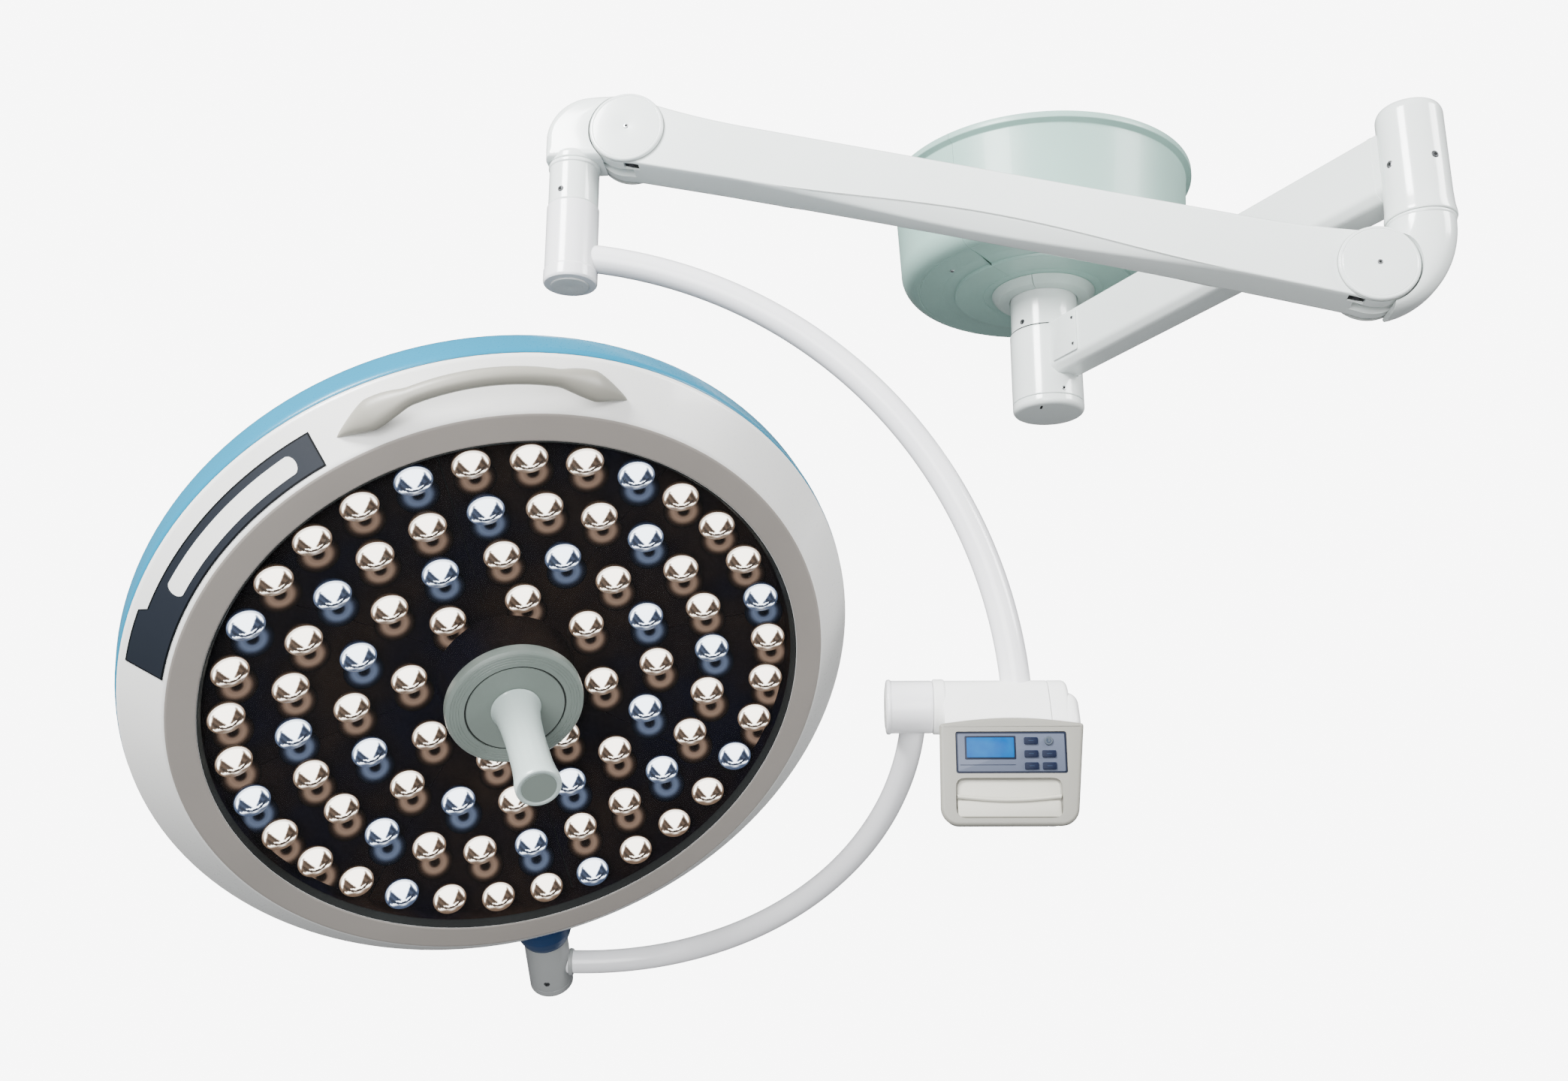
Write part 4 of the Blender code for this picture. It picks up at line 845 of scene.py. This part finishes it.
def box_front(body):
    face = prism(front_outline(), -0.0468, -0.0383, 0.004, 6)
    window = box((0.404, -0.06, -0.0722), (0.512, -0.03, -0.0315), 0.0016)
    grip = box((0.403, -0.06, -0.115), (0.506, -0.0424, -0.0765), 0.006)
    piece("box_front_frame", carve(face, window, grip), YOKE, BEIGE, body,
          ("box_frame",), angle=28.0)
    floor = box((0.4034, -0.0428, -0.1146), (0.5056, -0.0421, -0.0769), 0.0003)
    piece("grip_floor", floor, YOKE, INSIDE, body)
    lip_sections = []
    for step in range(25):
        t = step / 24
        x = 0.4045 + 0.1 * t
        z = -0.0945 - 0.0035 * math.sin(math.pi * t)
        ring = [(x, -0.0452 + 0.0024 * math.cos(a * math.pi / 6),
                 z + 0.0022 * math.sin(a * math.pi / 6)) for a in range(12)]
        lip_sections.append(ring)
    piece("grip_lip", loft(lip_sections), YOKE, INSIDE, body)
    lower = box((0.4045, -0.0452, -0.114), (0.5045, -0.042, -0.0975), 0.0022)
    piece("grip_lower_pad", lower, YOKE, INSIDE, body)
    gap = prism(front_outline(-0.0012), -0.0386, -0.0379, 0.0)
    piece("box_front_shadow_gap", gap, YOKE, GAP_SHADOW, body)


def keypad(body):
    border = box((0.4042, -0.0459, -0.072), (0.5118, -0.0448, -0.0317), 0.001)
    piece("keypad_border", border, YOKE, BORDER, body, ("keypad_panel",))
    foil = box((0.406, -0.0464, -0.0704), (0.51, -0.0457, -0.0337), 0.001)
    piece("keypad_foil", foil, YOKE, FOIL, body)
    bezel = box((0.4128, -0.0467, -0.0588), (0.4626, -0.046, -0.0358), 0.0008)
    piece("lcd_bezel", bezel, YOKE, BORDER, body)
    screen = box((0.4147, -0.0471, -0.0568), (0.4607, -0.0463, -0.0375), 0.0006)
    piece("lcd_screen", screen, YOKE, SCREEN, body, ("lcd_window",))
    groove = box((0.408, -0.0466, -0.0643), (0.462, -0.0461, -0.0637), 0.0001)
    piece("keypad_line", groove, YOKE, BORDER, body)
    for number in range(5):
        key_piece(f"key_{number}")
    low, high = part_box("power_key")
    middle = YOKE.inverted() @ ((low + high) / 2)
    cap = [(0.0, -0.002), (0.0044, -0.002), (0.0044, 0.0018), (0.0038, 0.0025), (0.0024, 0.0023),
           (0.0, 0.0022)]
    spot = at(*middle) @ turn(90.0, "X")
    turned("power_key_cap", cap, YOKE, POWER, "power_key", ("power_key",), local=spot,
           soft=0.0003, steps=40)
    ring = lathe([(0.0016, 0.0022), (0.0021, 0.0022), (0.0021, 0.0026), (0.0016, 0.0026)], 28, 300.0,
                 120.0)
    piece("power_mark", ring, YOKE, MARK, "power_key", local=spot)


def key_piece(name):
    low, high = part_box(name)
    middle = YOKE.inverted() @ ((low + high) / 2)
    cap = box((-0.0067, -0.0024, -0.0034), (0.0067, 0.002, 0.0034), 0.0007)
    piece(f"{name}_cap", cap, YOKE, KEY, name, (name,), local=at(*middle))
    mark = box((-0.0024, -0.0026, -0.0004), (0.0024, -0.0023, 0.0004), 0.0001)
    piece(f"{name}_mark", mark, YOKE, MARK, name, local=at(*middle))


# ---- lower yoke ---------------------------------------------------------------------------
def lower_yoke():
    body = "lower_yoke"
    shift = -CENTRE_X
    start, end = 0.3385 + shift, 0.3855 + shift
    barrel = [(0.0, start), (0.0255, start), (0.0276, start + 0.001), (0.0279, start + 0.004),
              (0.0266, start + 0.0052), (0.0266, end - 0.002), (0.026, end), (0.0115, end),
              (0.0115, end + 0.06), (0.0, end + 0.06)]
    turned("barrel_body", barrel, LOWER, PEARL, body, replaces=("lower_barrel",), local=ALONG,
           soft=0.0008, steps=SMOOTH)
    disc = [(0.0, start - 0.0008), (0.0205, start - 0.0008), (0.0215, start + 0.0004),
            (0.0, start + 0.0004)]
    turned("barrel_end_disc", disc, LOWER, RING, body, local=ALONG, steps=SMOOTH)
    piece("lower_arc_tube", bent_tube(*LOWER_ARC), LOWER, PEARL, body, replaces=("lower_arc",),
          local=at(*LOWER_ARC_CENTRE))
    top, foot = -(0.3775 - 0.045), -(0.4535 - 0.045)
    housing = [(0.0142, top), (0.024, top), (0.0249, top - 0.0008), (0.0249, foot + 0.012),
               (0.0246, foot + 0.0115), (0.0246, foot + 0.0108), (0.0249, foot + 0.0102),
               (0.0249, foot + 0.003), (0.022, foot), (0.0, foot - 0.0004), (0.0, foot + 0.006),
               (0.0142, foot + 0.006)]
    turned("pivot_housing_body", housing, LOWER, HOUSING, body, ("pivot_housing",),
           soft=0.001, steps=SMOOTH)
    ferrule = [(0.0132, -0.0022), (0.0156, -0.0022), (0.015, 0.0018), (0.0132, 0.0026)]
    turned("lower_arc_ferrule", ferrule, LOWER, HOUSING, body, soft=0.0005,
           local=at(0.0262, 0.0, -0.3748) @ ALONG)
    for name, azimuth in (("pivot_housing_screw", -90.0), ("pivot_housing_screw_rear", 90.0)):
        screw(name, LOWER, body, on_wall(0.0245, azimuth, foot + 0.024), 0.0034, True)


# ---- lamp head ----------------------------------------------------------------------------
def dish(radius):
    return WINDOW_Z - DISH_DEPTH + radius * radius / (2.0 * DISH_RADIUS)


def cone_z(radius):
    return WINDOW_Z - (radius - BAND_RADIUS) / (HEAD_RADIUS - BAND_RADIUS) * (WINDOW_Z - WAIST_Z)


def lamp_shells():
    body = "lamp_head"
    ring = [(0.2875, 0.0465), (0.289, 0.0538), (0.2905, 0.0552), (0.3158, 0.055), (0.3185, 0.0536),
            (0.3555, 0.0205), (0.357, 0.018), (0.357, 0.015), (0.3538, 0.015), (0.353, 0.019),
            (0.316, 0.052), (0.2925, 0.052), (0.2905, 0.0465)]
    turned("front_ring_body", ring, HEAD, RING, body, replaces=("front_ring",), soft=0.0022, steps=FINE)
    band = [(0.2898, 0.055), (0.2912, 0.0558), (0.3145, 0.0556), (0.3168, 0.0548), (0.314, 0.054),
            (0.291, 0.054)]
    turned("front_band", band, HEAD, BAND, body, soft=0.0006, steps=FINE)
    # Near-black ring at the inner edge of the front ring: painted shade where the window is set back
    seal = [(0.2858, 0.0462), (0.2876, 0.047), (0.2894, 0.0552), (0.2884, 0.0553), (0.2858, 0.048)]
    turned("window_edge_shadow", seal, HEAD, GAP_SHADOW, body, soft=0.0004, steps=FINE)
    wall = [(0.2845, 0.03), (0.2878, 0.03), (0.2878, 0.0462), (0.2866, 0.0462)]
    turned("window_well", wall, HEAD, BOARD, body, soft=0.0003, steps=FINE)
    rim = [(SHELL_RADIUS - 0.0024, 0.0145), (SHELL_RADIUS - 0.0006, 0.0125), (SHELL_RADIUS, 0.006)]
    shoulder = arc((SHELL_RADIUS - 0.026, -0.014), 0.026, 0.0, -64.0, 12)
    dome = [(0.32, -0.042), (0.25, -0.052), (0.19, -0.0575), (0.13, -0.0612), (0.06, -0.0634),
            (0.0, -0.064)]
    inner = [(0.0, -0.061), (0.13, -0.0582), (0.25, -0.049), (0.32, -0.038), (0.348, -0.02),
             (0.355, 0.0), (0.3545, 0.0145)]
    piece("rear_shell_body", lathe(rim + shoulder + dome + inner, FINE), HEAD, BLUE, body,
          ("rear_shell",), angle=50.0)
    # Near-black ring between the front ring and the blue shell: painted shade at the rim
    turned("rim_shadow_line", [(0.353, 0.0138), (0.3566, 0.0138), (0.3566, 0.0156), (0.353, 0.0156)], HEAD,
           GAP_SHADOW, body, soft=0.0002, steps=FINE)
    pane = [(0.05, 0.0468), (0.288, 0.0468), (0.288, 0.0448), (0.05, 0.0448)]
    turned("window_cover", pane, HEAD, PANE, body, ("window_pane",), soft=0.0002, steps=FINE)
    for number in range(6):
        x, y = polar(0.15, 60.0 * number + 15.0)
        screw(f"rear_shell_screw_{number + 1}", HEAD, body, at(x, y, -0.0602) @ turn(180.0, "X"), 0.0042)


def board():
    """Eight dark sectors with narrow seams, following the dish behind the lenses."""
    radii = [0.052 + 0.0157 * step for step in range(16)]
    top = [(radius, dish(radius) - BOARD_DROP) for radius in radii]
    profile = top + [(radius, z - 0.0015) for radius, z in reversed(top)]
    back = [(radius, z - 0.003) for radius, z in top] + [(radius, z - 0.004) for radius,
                                                         z in reversed(top)]
    piece("board_back", lathe(back, FINE), HEAD, GAP_SHADOW, "lamp_head", ("led_board",))
    for number in range(MODULES):
        start = -90.0 + MODULE_PHASE + MODULE_STEP * number - SECTOR / 2
        piece(f"board_sector_{number + 1}", lathe(profile, 20, SECTOR, start), HEAD, BOARD, "lamp_head")
    well = [(0.05, 0.033), (0.07, -0.008), (0.072, -0.0085), (0.053, 0.03)]
    turned("centre_well", well, HEAD, BOARD, "lamp_head", soft=0.0005, steps=SMOOTH)


def lens_shape():
    """One lens on its own axes: a low dome over a flared cup, with zone values for its painted shade and
    highlights.
    """
    rings, sides = 18, 52
    verts, zones = [], []
    for ring in range(rings + 1):
        reach = ring / rings
        for side in range(sides):
            x, y = polar(LENS_RADIUS * 0.96 * reach, 360.0 * side / sides)
            u, v = x / LENS_RADIUS, y / LENS_RADIUS
            verts.append((x, y, 0.0125 + 0.004 * (1.0 - reach ** 2)))
            zones.append(lens_zone(u, v))
    faces = skin(0, sides, rings)
    # The cup walls get painted shade, darker towards +y
    for radius, z, value in ((LENS_RADIUS, 0.0119, 0.34), (LENS_RADIUS * 0.97, 0.0095, 0.32),
                             (LENS_RADIUS * 0.88, 0.006, 0.2), (LENS_RADIUS * 0.7, 0.0, 0.04)):
        base = len(verts)
        for side in range(sides):
            x, y = polar(radius, 360.0 * side / sides)
            verts.append((x, y, z))
            zones.append(value * (0.8 - 0.35 * y / radius))
        faces += skin(base - sides, sides)
    return verts, faces, zones


def blob(u, v, wide, high):
    return math.exp(-((u / wide) ** 2 + (v / high) ** 2))


def lens_zone(u, v):
    """Painted light on the lens face: a painted highlight over the cap and middle, a painted shaded wedge
    on each side, a fine dark arc, a bright painted arc and spot low down, and mid tones of painted shade
    at the lower rim.
    """
    low = min(1.0, max(0.0, (-v - 0.42) / 0.2))
    value = 1.0 - 0.68 * low + 0.36 * blob(u, v + 0.64, 0.2, 0.1)
    arch = math.hypot(u, v - 0.3)
    if v < -0.1 and 0.72 < arch < 0.86:
        value = 0.14
    for side in (-1.0, 1.0):
        across, up = abs(u * side - 0.5 - 0.12 * (v + 0.3)) / 0.5, (v + 0.38) / 0.98
        if 0.0 < up < 1.0 and across < 1.0 - up:
            depth = min(1.0, 5.0 * min(1.0 - up - across, up + 0.12))
            value = min(value, 0.6 - depth * (0.48 - 0.16 * abs(math.sin(9.0 * u + 5.0 * v))))
    if v < -0.2 and 0.6 < arch < 0.71:
        value = 0.95
    if math.hypot(u, v) > 0.9:
        value = min(value, 0.34 + 0.44 * max(0.0, v))
    return min(1.0, max(0.0, value))


def halo_shape(glow):
    """The painted reflection of a lens on the board: a pale ring round a dark middle, shown by emission.
    """
    verts, zones, sides = [], [], 26
    stops = ((0.0, 0.1), (0.22, 0.16), (0.42, 0.8), (0.62, 0.95), (0.8, 0.62), (1.0, 0.22), (1.2, 0.0))
    for reach, value in stops:
        for side in range(sides):
            x, y = polar(glow * reach, 360.0 * side / sides)
            verts.append((x, y * 1.1, 0.0004 - 0.0003 * reach))
            zones.append(value)
    return verts, skin(0, sides, len(stops) - 1), zones


def zoned(name, copies, material, replaces=()):
    """Copies of one zoned shape as a single mesh in the lamp's frame."""
    verts, faces, zones = [], [], []
    for (points, polygons, values), matrix in copies:
        base = len(verts)
        verts += [tuple(HEAD @ (matrix @ Vector(point))) for point in points]
        faces += [tuple(base + i for i in polygon) for polygon in polygons]
        zones += values
    mesh = add_mesh(name, verts, faces)
    layer = mesh.attributes.new("zone", "FLOAT", "POINT")
    layer.data.foreach_set("value", zones)
    mesh.shade_smooth()
    return ridden(name, mesh, material, "lamp_head", replaces)


def lean_to(azimuth, degrees):
    """Tilts a shape towards the head's axis, from the side at the azimuth."""
    return turn(azimuth, "Z") @ turn(-degrees, "Y") @ turn(-azimuth, "Z")


def module(number, shape, halo):
    """Ten lenses of one sector; one in each ring but the innermost is the cool colour."""
    groups = {True: [], False: []}
    halos = {True: [], False: []}
    for radius, angles, cool_at in LENS_RINGS:
        for index, angle in enumerate(angles):
            azimuth = -90.0 + MODULE_PHASE + MODULE_STEP * number + angle
            x, y = polar(radius, azimuth)
            lean = math.degrees(math.atan2(radius, DISH_RADIUS))
            upright = at(x, y, dish(radius) - BOARD_DROP) @ lean_to(azimuth, lean)
            cool = index == cool_at
            groups[cool].append((shape, upright))
            shadow = Vector((x, y)) + Vector(HALO_SHIFT)
            reach = shadow.length
            if HALO_RANGE[0] < reach < HALO_RANGE[1]:
                slope = math.degrees(math.atan2(reach, DISH_RADIUS))
                facing = math.degrees(math.atan2(shadow.y, shadow.x))
                flat = at(shadow.x, shadow.y, dish(reach) - HALO_DROP) @ lean_to(facing, slope)
                halos[cool].append((halo, flat))
    name = f"lens_module_{number + 1}"
    zoned(f"module_{number + 1}_warm_lenses", groups[False], WARM_LENS, (name,))
    zoned(f"module_{number + 1}_cool_lenses", groups[True], COOL_LENS)
    zoned(f"module_{number + 1}_warm_halos", halos[False], WARM_GLOW)
    if halos[True]:
        zoned(f"module_{number + 1}_cool_halos", halos[True], COOL_GLOW)


def centre():
    body = "lamp_head"
    rings = []
    for step in range(4):
        radius = 0.0545 + 0.0028 * step
        rings += [(radius, 0.0592), (radius + 0.0004, 0.0589), (radius + 0.0008, 0.0592)]
    flange = [(0.0, 0.059), (0.0478, 0.059), (0.0482, 0.0578), (0.0496, 0.0578), (0.05, 0.0591)] + rings
    flange += [(0.0645, 0.059), (0.0672, 0.0566), (0.068, 0.0535), (0.068, 0.0475), (0.067, 0.047),
               (0.049, 0.047), (0.049, 0.04), (0.0, 0.04)]
    piece("centre_flange_body", lathe(flange, 128), HEAD, GREY, body, ("centre_flange",))
    # Near-black ring in the flange's groove: painted shade
    groove = lathe([(0.0483, 0.0577), (0.0495, 0.0577), (0.0495, 0.058), (0.0483, 0.058)], 128)
    piece("centre_flange_groove", groove, HEAD, GAP_SHADOW, body)
    grip = [(0.0, 0.0596), (0.025, 0.0596), (0.0236, 0.0622), (0.0222, 0.068), (0.0202, 0.082),
            (0.019, 0.105), (0.0187, 0.125), (0.0192, 0.15), (0.0204, 0.164), (0.0216, 0.171),
            (0.0217, 0.177), (0.0206, 0.18), (0.0178, 0.18), (0.0168, 0.179), (0.0, 0.1788)]
    turned("sterile_handle_grip", grip, HEAD, PALE, "sterile_handle",
           ("sterile_handle",), soft=0.003, steps=80)


def handle_end():
    disc = [(0.0, 0.1786), (0.0166, 0.1786), (0.016, 0.1796), (0.0, 0.1797)]
    piece("sterile_handle_end", lathe(disc, 64), HEAD, GREY, "sterile_handle")


def boss():
    down = turn(90.0, "X")
    profile = [(0.0, 0.334), (0.0325, 0.334), (0.0333, 0.348), (0.0322, 0.36), (0.0292, 0.37),
               (0.0266, 0.375), (0.026, 0.377), (0.0135, 0.377), (0.0135, 0.442), (0.0, 0.442)]
    turned("pivot_boss", profile, HEAD, DEEP, "lamp_head", ("pivot_cone",), local=down,
           soft=0.0016, steps=SMOOTH)


def grab_handle():
    middle, span, stations = 87.6, 22.4, 60
    lean = Vector((WINDOW_Z - WAIST_Z, HEAD_RADIUS - BAND_RADIUS)).normalized()
    along = Vector((-lean.y, lean.x))
    sections = []
    for step in range(stations + 1):
        t = step / stations
        lift = max(0.0, math.sin(math.pi * t))
        rise = lift ** 0.85
        middle_line = Vector((0.3325, 0.04)) + Vector((0.0228, 0.0173)) * rise
        foot = 1.0 - min(1.0, min(t, 1.0 - t) / 0.26)
        tip = min(1.0, min(t, 1.0 - t) / 0.13) ** 0.7
        thick = (0.0078 + 0.001 * foot) * max(0.02, tip)
        wide = (0.008 + 0.0062 * math.sin(math.pi * min(1.0, foot))) * max(0.02, tip)
        ring = []
        for side in range(20):
            a, b = polar(1.0, 360.0 * side / 20)
            spot = middle_line + lean * thick * a + along * wide * b
            x, y = polar(spot.x, middle + span * (2.0 * t - 1.0))
            ring.append((x, y, spot.y))
        sections.append(ring)
    piece("grab_handle_bar", loft(sections), HEAD, GRIP, "lamp_head", replaces=("grab_handle",),
          angle=60.0)


def label():
    """Plain strip on the cone with a pale slot in it, following the cone's curve."""
    grown = [(angle, inner - 0.0012, outer + 0.0012) for angle, inner, outer in label_edges()]
    ends = [(grown[0][0] - 0.25, *grown[0][1:])] + grown + [(grown[-1][0] + 0.25, *grown[-1][1:])]
    strip("label_outline", ends, 0.0005, OUTLINE)
    strip("label_strip", label_edges(), 0.0007, LABEL)
    strip("label_slot", slot_edges(), 0.0011, RING)


def label_edges():
    """(angle, inner radius, outer radius) along the strip, with a step cut from its outer edge."""
    rows = []
    for step in range(49):
        angle = 113.4 + 46.2 * step / 48
        outer = 0.344 if angle < 150.8 else 0.35
        rows.append((angle, 0.3214, outer))
    return rows


def slot_edges():
    """(angle, inner radius, outer radius) along the slot, round at both ends."""
    middle, half, reach = 131.0, 0.0064, 0.082
    rows = []
    for step in range(61):
        along = -reach * math.cos(math.pi * step / 60)
        rest = reach - abs(along)
        wide = half if rest > half else math.sqrt(max(half ** 2 - (half - rest) ** 2, 0.0)) + 0.0001
        rows.append((middle + math.degrees(along / 0.3318), 0.3325 - wide, 0.3325 + wide))
    return rows


def strip(name, edges, lift, material):
    lean = Vector((WINDOW_Z - WAIST_Z, HEAD_RADIUS - BAND_RADIUS)).normalized()
    sections = []
    for angle, inner, outer in edges:
        ring = []
        for radius, rise in ((inner, -0.001), (inner, lift), (outer, lift), (outer, -0.001)):
            spot = Vector((radius, cone_z(radius) + 0.0004)) + lean * rise
            ring.append((*polar(spot.x, angle), spot.y))
        sections.append(ring)
    piece(name, loft(sections), HEAD, material, "lamp_head", angle=50.0)


# ---- carried-over CAD pieces --------------------------------------------------------------
def carry_over():
    looks = {"ceiling_plate": STEEL, "hub_spindle": STEEL, "hub_bearing": STEEL, "swivel_bearing": STEEL,
             "rear_knuckle_pin": STEEL, "front_knuckle_pin": STEEL, "balance_spring": STEEL,
             "spring_guide": STEEL, "levelling_link": STEEL, "yoke_spigot": STEEL, "driver_board": BOARD,
             "control_board": BOARD}
    for name, material in looks.items():
        mesh = frame["nodes"][name].data
        mesh.materials.clear()
        mesh.materials.append(material)


# ---- studio -------------------------------------------------------------------------------
def sky(tree):
    """Soft even fill all round, with a paler plain background behind the object."""
    fill = tree.nodes["Background"]
    put(fill, {"Color": (0.96, 0.98, 1.0, 1.0), "Strength": 0.36})
    plain = add_node(tree, "ShaderNodeBackground", {"Color": (1.0, 1.0, 1.0, 1.0), "Strength": 8.0})
    ray = add_node(tree, "ShaderNodeLightPath")
    mix = add_node(tree, "ShaderNodeMixShader")
    join(tree, ray, "Is Camera Ray", mix, 0)
    join(tree, fill, 0, mix, 1)
    join(tree, plain, 0, mix, 2)
    tree.links.new(mix.outputs[0], tree.nodes["World Output"].inputs["Surface"])


def floor_material():
    """Matt pale floor that reads as bright as the background behind it."""
    material, tree, shader = nodes_of("pale_floor")
    put(shader, {"Base Color": (0.52, 0.53, 0.54, 1.0), "Roughness": 0.9})
    ray = add_node(tree, "ShaderNodeLightPath")
    lift = add_node(tree, "ShaderNodeMath", {1: 7.75}, operation="MULTIPLY")
    join(tree, ray, "Is Camera Ray", lift, 0)
    put(shader, {"Emission Color": (1.0, 1.0, 1.0, 1.0)})
    join(tree, lift, 0, shader, "Emission Strength")
    return material


def studio():
    wide, low = 60.0, -6.0
    corners = [(-wide, -wide, low), (wide, -wide, low), (wide, wide, low), (-wide, wide, low)]
    mesh = add_mesh("floor", corners, [(0, 1, 2, 3)])
    mesh.materials.append(floor_material())
    add_object("floor", mesh)
    world = bpy.data.worlds.new("studio")
    bpy.context.scene.world = world
    world.use_nodes = True
    sky(world.node_tree)
    aim = Vector((-0.35, -0.4, -0.55))
    lamps = (("key", (-2.3, -2.9, 1.3), 1.3, 470.0), ("front", (-0.9, -3.4, -1.0), 2.0, 120.0),
             ("side", (2.6, -1.6, 0.9), 1.2, 130.0))
    for name, where, size, power in lamps:
        light = bpy.data.lights.new(name, "AREA")
        light.size = size
        light.energy = power
        item = add_object(name, light)
        item.location = where
        item.rotation_euler = (aim - Vector(where)).to_track_quat("-Z", "Y").to_euler()


def camera():
    lens = bpy.data.cameras.new("camera")
    lens.sensor_width = 36.0
    lens.lens = 34.48
    item = add_object("camera", lens)
    item.location = (-0.3747, -2.003, -1.081)
    item.rotation_euler = (math.radians(90.0 + 15.2), 0.0, 0.0)
    bpy.context.scene.camera = item


canopy()
column()
hub()
extension_arm()
swivel()
rear_knuckle()
front_knuckle()
spring_arm()
yoke()
control_box()
lower_yoke()
lamp_shells()
board()
LENS_SHAPE, HALO_SHAPE = lens_shape(), halo_shape(HALO_RADIUS)
for sector in range(MODULES):
    module(sector, LENS_SHAPE, HALO_SHAPE)
centre()
handle_end()
boss()
grab_handle()
label()
carry_over()
studio()
camera()
